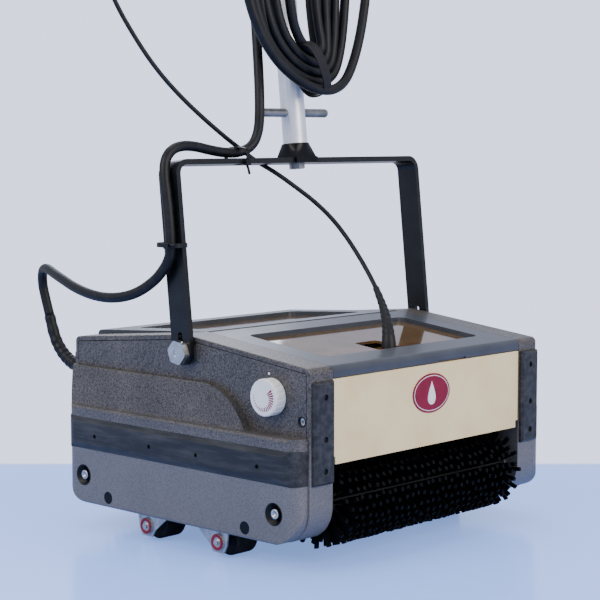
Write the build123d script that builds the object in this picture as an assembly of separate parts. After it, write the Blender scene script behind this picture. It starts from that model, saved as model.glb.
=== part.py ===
from build123d import *
import math
import os

# Walk-behind wet/dry floor scrubber with two contra-rotating cylindrical brushes.
# Millimetres. X runs across the machine, Y front (-) to rear (+), Z up.
# The origin is on the floor under the middle of the body.

# ---------- body ----------
half_length = 184.0
half_width = 193.2
inner_half_width = 159.4
body_bottom = 30.5
eave_height = 212.3
rear_eave_height = 217.0
ridge_height = 233.7
lower_corner = 38.0
upper_corner = 6.0
rim = 5.0
casting_wall = 5.0
edge_round = 1.6

# ---------- side covers ----------
cover_gap = 0.8
cover_plate = 4.0
cover_wall = 3.0
cover_end_gap = 3.0
bulge_reach = 211.2
bulge_bottom = 31.0
shelf_height = 142.0
bulge_end_round = 16.0
step_height = 186.0
step_reach = 199.7
step_foot_reach = 205.2
strip_low = 93.5
strip_high = 129.6
strip_floor_reach = 205.2
strip_reach = 213.4

# ---------- lids, tank and tray ----------
lid_gap = 0.5
ridge_gap = 3.0
lid_thickness = 8.0
lid_lip_low = 200.5
lid_lip_thickness = 4.0
rear_lid_raise = 5.0
window_half_width = 129.0
window_near = 33.0
window_margin = 37.0
window_corner = 8.0
pane_thickness = 3.0
pane_ledge = 4.0
pane_depth = 5.0
pane_clearance = 0.2
tank_top = 199.5
tank_wall = 3.0
tank_floor = 124.0
apron_low = 111.0
tank_back = 62.0
tray_floor = 113.0
tray_front = 100.0
deck_low = 116.0
deck_high = 119.0
shelf_inner = 46.0

# ---------- running gear ----------
brush_setback = 34.0
brush_axis_z = 63.0
brush_radius = 46.5
brush_half_length = 150.0
roller_radius = 21.0
shaft_radius = 6.0
bearing_radius = 14.0
bearing_width = 8.0
running_gap = 0.05
drum_axis_z = 84.0
drum_radius = 44.0
drum_core_radius = 30.0
drum_fins = 10
dosing_bar_z = 117.6
dosing_bar_radius = 4.0
dosing_bore_radius = 2.8
dosing_holes = 10
dosing_hole_pitch = 28.0
outlet_radius = 6.0
gear_teeth = 24
gear_module = 2.5
gear_width = 8.0
brush_pulley_radius = 16.0
countershaft_pulley_radius = 36.0
motor_pulley_radius = 12.0
belt_thickness = 2.0
belt_gap = 0.3
brush_belt_near = 165.5
brush_belt_far = 172.5
motor_belt_near = 174.5
motor_belt_far = 182.5
gear_near = 185.5
motor_axis_z = 165.0
motor_radius = 42.0
motor_half_length = 95.0
motor_wall = 3.0

# ---------- transport wheels ----------
wheel_axis_y = 56.4
wheel_radius = 17.0
wheel_near = 155.5
wheel_far = 185.5
wheel_axle_radius = 3.0
wheel_bearing_radius = 9.5
bracket_near = 152.0
bracket_far = 199.0
bracket_sheet = 2.0

# ---------- dosing knob and water valve ----------
knob_setback = 53.0
knob_z = 180.0
knob_radius = 19.5
knob_depth = 13.0
spindle_radius = 5.0
valve_x = -14.0
valve_setback = 49.0
valve_cap_radius = 8.5
valve_cap_top = 214.0
cable_slot_offset = 15.0
plunger_radius = 3.0

# ---------- handle ----------
pivot_y = -4.0
pivot_z = 215.5
pivot_radius = 8.0
handle_lean = 6.0
arm_near = 196.0
arm_thickness = 6.0
bail_width = 28.5
bail_height = 205.5
bail_corner = 16.0
tube_radius = 14.0
tube_wall = 1.5
socket_floor = 3.5
tee_height = 925.0
tee_radius = 11.0
tee_half_length = 152.0
pin_rise = 52.5
hook_height = 630.0
pin_radius = 5.0
pin_half_length = 56.0
box_low = 750.0
box_high = 860.0

# ---------- cords ----------
lead_radius = 5.6
cable_radius = 2.6
lead_x = 176.0
lead_z = 180.0
plug_x = 44.0
plug_low = 520.0
plug_body_radius = 18.5
plug_pin_radius = 2.4
plug_pin_length = 19.0
plug_pin_spacing = 19.0

os.makedirs("parts", exist_ok=True)
brush_axis_y = half_length - brush_setback
knob_y = knob_setback - half_length
valve_y = valve_setback - half_length
window_far = half_length - window_margin
tube_seat = bail_height + socket_floor
pin_height = bail_height + pin_rise
gear_radius = gear_module * gear_teeth / 2
drum_axis_y = 2 * gear_radius
roof_slope = math.atan((ridge_height - eave_height) / half_length)
cover_end = half_length - cover_end_gap


def save(name, shape):
    export_step(shape, "parts/" + name + ".step")


def block(x0, x1, y0, y1, z0, z1):
    centre = Pos((x0 + x1) / 2, (y0 + y1) / 2, (z0 + z1) / 2)
    return centre * Box(x1 - x0, y1 - y0, z1 - z0)


def rod_x(y, z, radius, x0, x1):
    return Pos((x0 + x1) / 2, y, z) * Rot(0, 90, 0) * Cylinder(radius, x1 - x0)


def rod_y(x, z, radius, y0, y1):
    return Pos(x, (y0 + y1) / 2, z) * Rot(90, 0, 0) * Cylinder(radius, y1 - y0)


def rod_z(x, y, radius, z0, z1):
    return Pos(x, y, (z0 + z1) / 2) * Cylinder(radius, z1 - z0)


def prism_x(outline, x0, x1):
    """Outline drawn in Y-Z, carried from x0 to x1."""
    return Pos(x0, 0, 0) * extrude(Plane.YZ * outline, amount=x1 - x0, dir=(1, 0, 0))


def prism_y(outline, y0, y1):
    """Outline drawn in X-Z, carried from y0 to y1."""
    return Pos(0, y0, 0) * extrude(Plane.XZ * outline, amount=y1 - y0, dir=(0, 1, 0))


def prism_z(outline, z0, z1):
    return Pos(0, 0, z0) * extrude(outline, amount=z1 - z0, dir=(0, 0, 1))


def shape_of(points):
    return Polygon(*points, align=None)


def mirrored_x(shape):
    return mirror(shape, about=Plane.YZ)


def mirrored_y(shape):
    return mirror(shape, about=Plane.XZ)


def both_sides(shape):
    """Two separate copies, one on each side of the machine."""
    return Compound(children=[shape, mirrored_x(shape)])


def group(shapes):
    return Compound(children=list(shapes))


def roof(y):
    """Height of the castings' top edge, which falls less towards the rear."""
    edge = eave_height if y < 0 else rear_eave_height
    return ridge_height - (ridge_height - edge) * abs(y) / half_length


def gable(inset):
    """Side outline of the body in Y-Z, moved inwards by inset, corners rounded."""
    drop = inset / math.cos(roof_slope)
    end = half_length - inset
    front_eave = roof(-end) - drop
    rear_eave = roof(end) - drop
    base = body_bottom + inset
    ridge = ridge_height - drop
    face = shape_of([(-end, base), (end, base), (end, rear_eave), (0, ridge), (-end, front_eave)])
    low = [v for v in face.vertices() if v.Y < base + 1]
    face = fillet(low, max(lower_corner - inset, 4))
    high = [v for v in face.vertices() if abs(v.X) > end - 0.01 and v.Y > front_eave - 0.01]
    return fillet(high, max(upper_corner - inset, 1.5))


# ---------- where the shafts and screws sit, as (y, z) ----------
front_brush_axis = (-brush_axis_y, brush_axis_z)
rear_brush_axis = (brush_axis_y, brush_axis_z)
drum_axis = (drum_axis_y, drum_axis_z)
counter_axis = (0.0, drum_axis_z)
left_shafts = [front_brush_axis, rear_brush_axis, drum_axis]
right_shafts = left_shafts + [counter_axis]
plug_places = [(-108.0, 42.4), (108.0, 42.4)]
plug_radius = 7.0
plug_depth = 5.0
upper_screw_y = half_length - 11.5
upper_screw_places = [(-upper_screw_y, 158.3), (upper_screw_y, 158.3)]
cover_screw_radius = 2.5
cover_screw_head = 4.2
strip_screw_places = [-128.0, -37.0, 37.0, 128.0]
strip_screw_z = (strip_low + strip_high) / 2 - 2
bumper_near = 161.0
bumper_far = 191.0
bumper_low = 93.0
bumper_high = 198.7
bumper_thickness = 5.5
bumper_screw_x = 175.5
bumper_screw_heights = [107.0, 140.0, 183.0]
bumper_screw_radius = 1.8
pocket_floor = inner_half_width + casting_wall
plate_back = half_width - cover_plate
boss_radius = 7.0


def side_casting(shafts, with_drive):
    """Right-hand side casting: a tray with its open side outwards."""
    body = prism_x(gable(0), inner_half_width, half_width)
    outer_face = body.faces().sort_by(Axis.X)[-1]
    body = fillet(outer_face.edges(), edge_round)
    pocket = prism_x(gable(rim), pocket_floor, half_width + 1)
    body = body - pocket
    for y, z in shafts:
        body += rod_x(y, z, bearing_radius + 4, pocket_floor - bearing_width, pocket_floor)
    for y, z in plug_places:
        body += rod_x(y, z, boss_radius, pocket_floor, plate_back)
    for y, z in upper_screw_places:
        body += rod_x(y, z, boss_radius, pocket_floor, plate_back - 6) & prism_x(gable(1), 0, half_width)
    pivot_boss = rod_x(pivot_y, pivot_z, pivot_radius + 6, pocket_floor, plate_back)
    body += pivot_boss & prism_x(gable(1), 0, half_width)
    for end in (-1, 1):
        arch = rod_x(end * wheel_axis_y, wheel_radius, wheel_radius + 4.5, inner_half_width, plate_back)
        body += arch & block(0, half_width, -half_length, half_length, body_bottom, 60)
        hollow_near = inner_half_width - 1
        body -= rod_x(end * wheel_axis_y, wheel_radius, wheel_radius + 2.0, hollow_near, plate_back - 2)
    for y, z in shafts:
        body -= rod_x(y, z, bearing_radius, pocket_floor - bearing_width - 1, pocket_floor + 1)
    for y, z in plug_places + upper_screw_places:
        body -= rod_x(y, z, cover_screw_radius, pocket_floor + 4, half_width)
    body -= rod_x(pivot_y, pivot_z, pivot_radius, pocket_floor + 4, half_width)
    for z in bumper_screw_heights:
        body -= rod_y(bumper_screw_x, z, bumper_screw_radius, -half_length - 1, -half_length + rim + 1)
    for z in bumper_screw_heights if with_drive else bumper_screw_heights[:-1]:
        body -= rod_y(bumper_screw_x, z, bumper_screw_radius, half_length - rim - 1, half_length + 1)
    if with_drive:
        body -= rod_x(0, motor_axis_z, shaft_radius + 3, inner_half_width - 1, pocket_floor + 1)
    else:
        body -= rod_x(knob_y, knob_z, spindle_radius + running_gap, inner_half_width - 1, pocket_floor + 1)
        body -= rod_y(lead_x, lead_z, lead_radius + 0.2, half_length - rim - 1, half_length + 1)
    return body


def plan_block(near, reach, end, corner, z0, z1):
    """Block from x = near to x = reach whose two outer upright edges are rounded."""
    face = Pos((near + reach) / 2, 0) * Rectangle(reach - near, 2 * end)
    outer = [v for v in face.vertices() if v.X > reach - 0.1]
    return prism_z(fillet(outer, corner), z0, z1)


def lower_bulge(near, inset):
    """Deep lower half of a side cover, up to the shelf above the bumper strip."""
    end = cover_end - inset
    reach = bulge_reach - inset
    top = shelf_height - inset
    base = bulge_bottom + inset
    side = shape_of([(-end, base), (end, base), (end, top), (-end, top)])
    low = [v for v in side.vertices() if v.Y < base + 1]
    side = fillet(low, max(lower_corner - cover_end_gap - inset, 4))
    section = shape_of([(near, base), (reach, base), (reach, top), (near, top)])
    outer = [v for v in section.vertices() if v.X > reach - 0.1]
    section = fillet(outer, 3.5)
    body = prism_x(side, near, reach) & prism_y(section, -end, end)
    return body & plan_block(near, reach, end, bulge_end_round - inset, 0, ridge_height)


def upper_bulge(near, inset):
    """Shallow raised field above the shelf, with its sweeping front edge."""
    end = cover_end - inset
    top = step_height - inset
    foot = shelf_height - 6
    front = -101.4 + inset
    straight_end = -20.0
    rear = Line((end, foot), (end, top))
    lid_line = Line((end, top), (straight_end, top))
    sweep_middle = (-70.0 + 0.7 * inset, 174.5 - 0.7 * inset)
    sweep_line = ThreePointArc((straight_end, top), sweep_middle, (front, shelf_height))
    front_line = Line((front, shelf_height), (front, foot))
    base_line = Line((front, foot), (end, foot))
    side = make_face([rear, lid_line, sweep_line, front_line, base_line])
    lean = (step_foot_reach - step_reach) / (step_height - shelf_height)
    foot_reach = step_foot_reach + lean * 6 - inset
    section = shape_of([(near, foot), (foot_reach, foot), (step_reach - inset, top), (near, top)])
    outer = [v for v in section.vertices() if v.X > near + 1 and v.Y > top - 1]
    section = fillet(outer, 2.5)
    body = prism_x(side, near, bulge_reach) & prism_y(section, -end, end)
    return body & plan_block(near, step_foot_reach + 2 - inset, end, 9, 0, ridge_height)


def side_cover(with_knob):
    """Right-hand side cover: a flat plate let into the casting, with a hollow bulge."""
    inside = gable(rim + cover_gap)
    body = prism_x(inside, plate_back, half_width)
    body = body + lower_bulge(half_width, 0) + upper_bulge(half_width, 0)
    recess = block(half_width, bulge_reach + 5, -half_length, half_length, strip_low, strip_high)
    core = plan_block(half_width, strip_floor_reach, cover_end - 2, 11.5, strip_low - 1, strip_high + 1)
    body = body - (recess - core)
    cavity = lower_bulge(plate_back - 1, cover_wall) + upper_bulge(plate_back - 1, cover_wall)
    cavity = cavity & prism_x(gable(rim + cover_gap + cover_wall), plate_back - 1, bulge_reach)
    band_near = strip_floor_reach - cover_wall
    band = block(band_near, bulge_reach + 5, -half_length, half_length,
                 strip_low - cover_wall, strip_high + cover_wall)
    body = body - (cavity - band)
    for y, z in plug_places:
        body += rod_x(y, z, boss_radius + 3, plate_back, bulge_reach - 1) & prism_x(inside, 0, bulge_reach)
        body -= rod_x(y, z, plug_radius, bulge_reach - plug_depth - 4, bulge_reach + 1)
        body -= rod_x(y, z, cover_screw_radius, plate_back - 1, bulge_reach)
    for y, z in upper_screw_places:
        pad = rod_x(y, z, boss_radius, plate_back - 6, plate_back)
        body += pad & prism_x(inside, plate_back - 6, half_width)
        body -= rod_x(y, z, 5.0, plate_back - 2, half_width + 1)
        body -= rod_x(y, z, cover_screw_radius, plate_back - 7, half_width)
    for y, z in (front_brush_axis, rear_brush_axis):
        body -= rod_x(y, z, 12.0, bulge_reach - 8, bulge_reach + 1)
    for y in strip_screw_places:
        body -= rod_x(y, strip_screw_z, 1.5, band_near - 1, strip_floor_reach + 1)
    body -= rod_x(pivot_y, pivot_z, pivot_radius + 0.2, plate_back - 1, half_width + 1)
    if with_knob:
        body -= rod_x(knob_y, knob_z, spindle_radius + running_gap, plate_back - 1, half_width + 1)
    return body


def bumper_strip():
    """Rubber strip that fills the recess in a side cover and wraps its ends."""
    outer = plan_block(half_width, strip_reach, cover_end, 18.0, strip_low, strip_high)
    bevel_reach = strip_reach - 2.2
    section = shape_of([(half_width, strip_low), (bevel_reach, strip_low), (strip_reach, strip_low + 6),
                        (strip_reach, strip_high - 6), (bevel_reach, strip_high), (half_width, strip_high)])
    outer = outer & prism_y(section, -half_length, half_length)
    core = plan_block(half_width - 1, strip_floor_reach, cover_end - 2, 11.5, strip_low - 1, strip_high + 1)
    strip = outer - core
    for y in strip_screw_places:
        strip -= rod_x(y, strip_screw_z, 2.4, strip_floor_reach - 1, strip_reach + 1)
    return strip


def corner_bumper(screw_heights):
    """Rubber buffer on the front edge of the right-hand casting."""
    face_y = -half_length - bumper_thickness
    buffer = block(bumper_near, bumper_far, face_y, -half_length, bumper_low, bumper_high)
    front = buffer.faces().sort_by(Axis.Y)[0]
    buffer = chamfer(front.edges(), 2.4)
    for z in screw_heights:
        buffer -= rod_y(bumper_screw_x, z, 3.2, face_y - 1, face_y + 3)
        buffer -= rod_y(bumper_screw_x, z, bumper_screw_radius, face_y, -half_length + 1)
    return buffer


def strip_screws():
    screws = []
    for y in strip_screw_places:
        head = rod_x(y, strip_screw_z, 2.4, strip_floor_reach, strip_floor_reach + 3)
        screws.append(head + rod_x(y, strip_screw_z, 1.5, strip_floor_reach - cover_wall, strip_floor_reach))
    return screws


def corner_screws(screw_heights):
    """Screws of the rear right-hand buffer."""
    screws = []
    for z in screw_heights:
        top = half_length + bumper_thickness - 3
        head = rod_y(bumper_screw_x, z, 3.2, top, top + 1.4)
        screws.append(head + rod_y(bumper_screw_x, z, bumper_screw_radius, half_length - rim, top))
    return screws


def cover_screws_of_one_side():
    screws = []
    for y, z in plug_places:
        seat = bulge_reach - plug_depth - 4
        head = rod_x(y, z, cover_screw_head, seat, seat + 3)
        screws.append(head + rod_x(y, z, cover_screw_radius, pocket_floor + 4, seat))
    for y, z in upper_screw_places:
        seat = plate_back - 2
        head = rod_x(y, z, cover_screw_head, seat, seat + 4.5)
        socket = prism_x(Pos(y, z) * RegularPolygon(2.0, 6), seat + 2, seat + 6)
        screws.append(head + rod_x(y, z, cover_screw_radius, pocket_floor + 4, seat) - socket)
    return screws


right_casting = side_casting(right_shafts, True)
left_casting = mirrored_x(side_casting(left_shafts, False))
save("right_side_casting", right_casting)
save("left_side_casting", left_casting)
save("right_side_cover", side_cover(False))
save("left_side_cover", mirrored_x(side_cover(True)))
save("side_bumper_strips", both_sides(bumper_strip()))
front_buffer = corner_bumper(bumper_screw_heights)
rear_buffer = mirrored_y(front_buffer)
lead_buffer = mirrored_y(corner_bumper(bumper_screw_heights[:-1]))
lead_buffer -= rod_y(lead_x, lead_z, lead_radius + 0.2, half_length - 1, half_length + bumper_thickness + 1)
save("corner_bumpers", group([front_buffer, rear_buffer, mirrored_x(front_buffer), mirrored_x(lead_buffer)]))
screws = strip_screws() + corner_screws(bumper_screw_heights)
screws += [mirrored_y(piece) for piece in corner_screws(bumper_screw_heights)]
left_screws = strip_screws() + corner_screws(bumper_screw_heights[:-1])
left_screws += [mirrored_y(piece) for piece in corner_screws(bumper_screw_heights)]
save("bumper_screws", group(screws + [mirrored_x(piece) for piece in left_screws]))
screws = cover_screws_of_one_side()
save("cover_screws", group(screws + [mirrored_x(piece) for piece in screws]))
plugs = [rod_x(y, z, plug_radius, bulge_reach - plug_depth, bulge_reach - 0.4) for y, z in plug_places]
save("cover_plugs", group(plugs + [mirrored_x(piece) for piece in plugs]))


# ---------- frame members between the castings ----------
def ridge_beam():
    """Cross beam under the ridge that carries the inner edges of both lids."""
    top = roof(-12) - lid_thickness
    beam = block(-inner_half_width, inner_half_width, -12, 12, top - 12, top)
    beam -= block(-inner_half_width - 1, inner_half_width + 1, -9, 9, top - 13, top - 3)
    fin_half = ridge_gap - 1
    return beam + block(-inner_half_width, inner_half_width, -fin_half, fin_half, top - 1, ridge_height - 2)



def motor_deck():
    """Folded plate across the machine that carries the motor."""
    front = -tank_back + 3
    deck = block(-inner_half_width, inner_half_width, front, 12, deck_low, deck_high)
    flange_front = block(-inner_half_width, inner_half_width, front, front + 2, deck_low - 12, deck_high)
    flange_rear = block(-inner_half_width, inner_half_width, 10, 12, deck_low, deck_high + 4)
    return deck + flange_front + flange_rear


save("ridge_beam", ridge_beam())
save("motor_deck", motor_deck())


# ---------- lids ----------
def window_shape(grow):
    length = window_far - window_near + 2 * grow
    centre = (window_near + window_far) / 2
    return Pos(0, centre) * RectangleRounded(2 * (window_half_width + grow), length, window_corner + grow / 2)


def lid_top(y, edge):
    """Height of a lid's upper face, for a lid that is edge high at its outer end."""
    return ridge_height - (ridge_height - edge) * y / half_length


def lid_slab(y0, y1, deep, shallow, edge):
    """Slab parallel to a lid's upper face, between two depths below it."""
    points = [(y0, lid_top(y0, edge) - deep), (y1, lid_top(y1, edge) - deep),
              (y1, lid_top(y1, edge) - shallow), (y0, lid_top(y0, edge) - shallow)]
    return prism_x(shape_of(points), -half_width, half_width)


def lid_frame(edge):
    """Lid over the rear half, with a raised-edge window opening and a lip at its outer end."""
    under = half_length - lid_lip_thickness
    points = [(ridge_gap, lid_top(ridge_gap, edge)), (half_length, edge), (half_length, lid_lip_low),
              (under, lid_lip_low), (under, lid_top(under, edge) - lid_thickness),
              (ridge_gap, lid_top(ridge_gap, edge) - lid_thickness)]
    outline = shape_of(points)
    outer = [v for v in outline.vertices() if v.X > half_length - 0.1 and v.Y > edge - 1]
    outline = fillet(outer, upper_corner)
    half = inner_half_width - lid_gap
    body = prism_x(outline, -half, half)
    body -= prism_z(window_shape(0), lid_lip_low, ridge_height + 20)
    bevel = lid_slab(window_near - 3, window_far + 3, 1.2, -5, edge)
    body -= bevel & prism_z(window_shape(1.2), lid_lip_low, ridge_height + 20)
    seat = lid_slab(window_near - 9, window_far + 9, lid_thickness + 2, pane_depth, edge)
    return body - (seat & prism_z(window_shape(pane_ledge + pane_clearance), 190, ridge_height + 20))


def pane(edge):
    sheet = lid_slab(window_near - 9, window_far + 9, pane_depth + pane_thickness, pane_depth, edge)
    return sheet & prism_z(window_shape(pane_ledge), 190, ridge_height + 20)


finger_notch = block(10, 60, half_length - 2, half_length + 1, lid_lip_low - 1, lid_lip_low + 2)
slot_centre_y = valve_y + cable_slot_offset
cable_slot = Pos(valve_x + 5, slot_centre_y) * RectangleRounded(38, 48, 4)
rear_lid_edge = rear_eave_height + rear_lid_raise
save("front_lid_frame", mirrored_y(lid_frame(eave_height) - finger_notch))
save("front_lid_window", mirrored_y(pane(eave_height)) - prism_z(cable_slot, 190, 260))
save("rear_lid_frame", lid_frame(rear_lid_edge))
save("rear_lid_window", pane(rear_lid_edge))


# ---------- clean-water tank and waste tray ----------
panel_half = inner_half_width - lid_gap
box_half = inner_half_width - 3.4
panel_back = half_length - 0.5 - tank_wall


def end_panel():
    """Outer panel between the castings at the rear end, with notched lower corners."""
    panel = block(-panel_half, panel_half, panel_back, half_length - 0.5, apron_low, tank_top)
    for side in (-1, 1):
        notch_x = side * panel_half
        panel -= block(notch_x - 4, notch_x + 4, panel_back - 1, half_length, apron_low - 1, apron_low + 8)
    return panel


def open_box(near, floor):
    """Open-topped box from y = near to the end panel, with a shelf along its inner edge."""
    body = block(-box_half, box_half, near, panel_back, floor, tank_top)
    body -= block(-box_half + tank_wall, box_half - tank_wall, near + tank_wall, panel_back,
                  floor + tank_wall, tank_top + 1)
    shelf = block(-box_half, box_half, shelf_inner, near + 1, tank_top - tank_wall, tank_top)
    return body + shelf + end_panel()


knob_side_boss = rod_x(knob_y, knob_z, 9, -box_half + 1, -box_half + 10)
tank = mirrored_y(open_box(tank_back, tank_floor)) + knob_side_boss
tank -= rod_x(knob_y, knob_z, spindle_radius + running_gap, -box_half - 1, -box_half + 8)
tank -= rod_z(valve_x, valve_y, outlet_radius, tank_floor - 1, tank_floor + tank_wall + 1)
save("water_tank", tank)

tray = open_box(tray_front, tray_floor)
tray -= block(-140, 140, tray_front - 1, tray_front + tank_wall + 0.5, tray_floor + 4, tray_floor + 14)
save("waste_tray", tray)

# ---------- water valve ----------
bridge = block(valve_x - 11, valve_x + 11, -panel_back, -tank_back - tank_wall, tank_top - tank_wall, tank_top)
bridge += rod_z(valve_x, valve_y, valve_cap_radius, tank_top - tank_wall, valve_cap_top)
bridge -= rod_z(valve_x, valve_y, plunger_radius + running_gap, tank_top - 5, valve_cap_top - 1.5)
save("valve_bridge", bridge)

plunger = rod_z(valve_x, valve_y, plunger_radius, tank_floor + tank_wall, tank_top + 3)
plunger_seat = tank_floor + tank_wall + 0.3
plunger += rod_z(valve_x, valve_y, outlet_radius + 3, plunger_seat, plunger_seat + 3)
plunger -= rod_z(valve_x, valve_y, outlet_radius + 4, tank_floor, plunger_seat)
save("valve_plunger", plunger)

bar = rod_x(-brush_axis_y, dosing_bar_z, dosing_bar_radius, -box_half + 8, box_half - 8)
bar -= rod_x(-brush_axis_y, dosing_bar_z, dosing_bore_radius, -box_half + 10, box_half - 10)
for step in range(dosing_holes):
    hole_x = (step - (dosing_holes - 1) / 2) * dosing_hole_pitch
    bar -= rod_z(hole_x, -brush_axis_y, 0.8, dosing_bar_z - 6, dosing_bar_z)
bar += rod_z(valve_x, valve_y, outlet_radius - 1, 120, tank_floor)
bar += block(valve_x - 3, valve_x + 3, -brush_axis_y, valve_y, 117, 121)
save("dosing_bar", bar)

# ---------- dosing knob ----------
knob = rod_x(knob_y, knob_z, knob_radius, -half_width - 0.5 - knob_depth, -half_width - 0.5)
knob_face = knob.faces().sort_by(Axis.X)[0]
knob = chamfer(knob_face.edges(), 1.2)
for flute in range(18):
    angle = math.radians(20 * flute)
    flute_y = knob_y + (knob_radius + 1.3) * math.cos(angle)
    flute_z = knob_z + (knob_radius + 1.3) * math.sin(angle)
    knob -= rod_x(flute_y, flute_z, 2.0, -half_width - 1 - knob_depth, -half_width - 2.5)
knob += rod_x(knob_y, knob_z, spindle_radius, -half_width - 0.5, -box_half + 7)
save("dosing_knob", knob)


# ---------- motor ----------
def motor_housing():
    shell = rod_x(0, motor_axis_z, motor_radius, -motor_half_length, motor_half_length)
    inner_end = motor_half_length - 5
    shell -= rod_x(0, motor_axis_z, motor_radius - motor_wall, -inner_end, inner_end)
    stator = rod_x(0, motor_axis_z, motor_radius - motor_wall + 0.5, -50, 50)
    shell += stator - rod_x(0, motor_axis_z, 30.0, -51, 51)
    for x in (-60, 60):
        foot = block(x - 10, x + 10, -25, 9.5, deck_high, motor_axis_z - 30)
        shell += foot - rod_x(0, motor_axis_z, motor_radius - 1, -100, 100)
    for fin in range(14):
        angle = math.radians(25 + 10 * fin)
        fin_y = math.cos(angle) * motor_radius
        fin_z = motor_axis_z + math.sin(angle) * motor_radius
        shell += Pos(0, fin_y, fin_z) * Rot(math.degrees(angle), 0, 0) * Box(150, 4, 1.4)
    return shell - rod_x(0, motor_axis_z, shaft_radius + running_gap, -100, 100)


save("motor_housing", motor_housing())
rotor = rod_x(0, motor_axis_z, 29.4, -48, 48)
rotor += rod_x(0, motor_axis_z, shaft_radius, -94, motor_belt_far + 3)
rotor += rod_x(0, motor_axis_z, 33.0, 66, 80)
save("motor_rotor", rotor)


def pulley(axis, radius, x0, x1):
    return rod_x(axis[0], axis[1], radius, x0, x1)


motor_axis = (0.0, motor_axis_z)
wheel = pulley(motor_axis, motor_pulley_radius, motor_belt_near, motor_belt_far)
save("motor_pulley", wheel - pulley(motor_axis, shaft_radius, 160, 200))


# ---------- gears, belts and bearings ----------
def gear(axis, turned):
    """Straight-tooth gear centred on axis; turned is its starting angle in degrees."""
    pitch = 2 * math.pi / gear_teeth
    root = gear_radius - 1.1 * gear_module
    tip = gear_radius + 0.9 * gear_module
    points = []
    for tooth in range(gear_teeth):
        middle = tooth * pitch + math.radians(turned)
        for radius, angle in ((root, -0.30), (tip, -0.12), (tip, 0.12), (root, 0.30)):
            at = middle + angle * pitch
            points.append((axis[0] + radius * math.cos(at), axis[1] + radius * math.sin(at)))
    return prism_x(shape_of(points), gear_near, gear_near + gear_width)


def belt_loop(first, first_radius, second, second_radius, grow):
    """Outline hull of two circles, drawn from their outer tangent points."""
    r1 = first_radius + grow
    r2 = second_radius + grow
    span = math.dist(first, second)
    base = math.atan2(second[1] - first[1], second[0] - first[0])
    spread = math.acos((r1 - r2) / span)
    corners = []
    for centre, radius, angle in ((first, r1, base - spread), (second, r2, base - spread),
                                  (second, r2, base + spread), (first, r1, base + spread)):
        corners.append((centre[0] + radius * math.cos(angle), centre[1] + radius * math.sin(angle)))
    return shape_of(corners) + Pos(*first) * Circle(r1) + Pos(*second) * Circle(r2)


def belt(first, first_radius, second, second_radius, x0, x1):
    outer = belt_loop(first, first_radius, second, second_radius, belt_gap + belt_thickness)
    inner = belt_loop(first, first_radius, second, second_radius, belt_gap)
    return prism_x(outer - inner, x0, x1)


small = brush_pulley_radius
save("drive_belts", group([
    belt(counter_axis, small, front_brush_axis, small, brush_belt_near, brush_belt_far),
    belt(drum_axis, small, rear_brush_axis, small, brush_belt_near, brush_belt_far),
    belt(counter_axis, countershaft_pulley_radius, motor_axis, motor_pulley_radius,
         motor_belt_near, motor_belt_far),
]))

cluster = rod_x(*counter_axis, shaft_radius, pocket_floor - bearing_width - 4, gear_near + gear_width + 2)
cluster += pulley(counter_axis, small, brush_belt_near, brush_belt_far)
cluster += pulley(counter_axis, countershaft_pulley_radius, motor_belt_near, motor_belt_far)
cluster += gear(counter_axis, 0)
save("cluster_gear", cluster)
save("drum_gear", gear(drum_axis, 180 / gear_teeth) - rod_x(*drum_axis, shaft_radius, 180, 200))


def bearing(axis, bore, radius, x0, x1):
    return rod_x(*axis, radius, x0, x1) - rod_x(*axis, bore, x0 - 1, x1 + 1)


bearings = []
seat_near = pocket_floor - bearing_width
for axis in right_shafts:
    bearings.append(bearing(axis, shaft_radius + running_gap, bearing_radius, seat_near, pocket_floor))
for axis in left_shafts:
    bearings.append(bearing(axis, shaft_radius + running_gap, bearing_radius, -pocket_floor, -seat_near))
for end in (-1, 1):
    axis = (end * wheel_axis_y, wheel_radius)
    plain = bearing(axis, wheel_axle_radius, wheel_bearing_radius, bracket_far - 4, bracket_far + 2)
    bearings.append(plain)
    bearings.append(mirrored_x(plain))
save("ball_bearings", group(bearings))


# ---------- brushes and pick-up drum ----------
def brush_roller(axis):
    """Roller core on its steel shaft, with the belt pulley on the right-hand end."""
    roller = rod_x(*axis, roller_radius, -brush_half_length - 2, brush_half_length + 2)
    roller += rod_x(*axis, shaft_radius, -bulge_reach + 8, bulge_reach - 8)
    for side in (-1, 1):
        tip = prism_x(Pos(*axis) * RegularPolygon(5.5, 6), 0, 5)
        start = bulge_reach - 8 if side > 0 else -bulge_reach + 3
        roller += Pos(start, 0, 0) * tip
    return roller + rod_x(*axis, brush_pulley_radius, brush_belt_near, brush_belt_far)


def brush_bristles(axis):
    sleeve = rod_x(*axis, brush_radius, -brush_half_length, brush_half_length)
    return sleeve - rod_x(*axis, roller_radius, -brush_half_length - 1, brush_half_length + 1)


save("front_brush_roller", brush_roller(front_brush_axis))
save("front_brush_bristles", brush_bristles(front_brush_axis))
save("rear_brush_roller", brush_roller(rear_brush_axis))
save("rear_brush_bristles", brush_bristles(rear_brush_axis))

drum = rod_x(*drum_axis, drum_core_radius, -brush_half_length, brush_half_length)
for fin in range(drum_fins):
    angle = 360 * fin / drum_fins
    fin_middle = (drum_radius + drum_core_radius) / 2 - 1
    blade = Pos(0, fin_middle, 0) * Box(2 * brush_half_length, drum_radius - drum_core_radius + 2, 3)
    drum += Pos(0, *drum_axis) * Rot(angle, 0, 0) * blade
drum += rod_x(*drum_axis, shaft_radius, -pocket_floor - 2, gear_near + gear_width + 2)
drum += rod_x(*drum_axis, brush_pulley_radius, brush_belt_near, brush_belt_far)
save("pickup_drum", drum)

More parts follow.
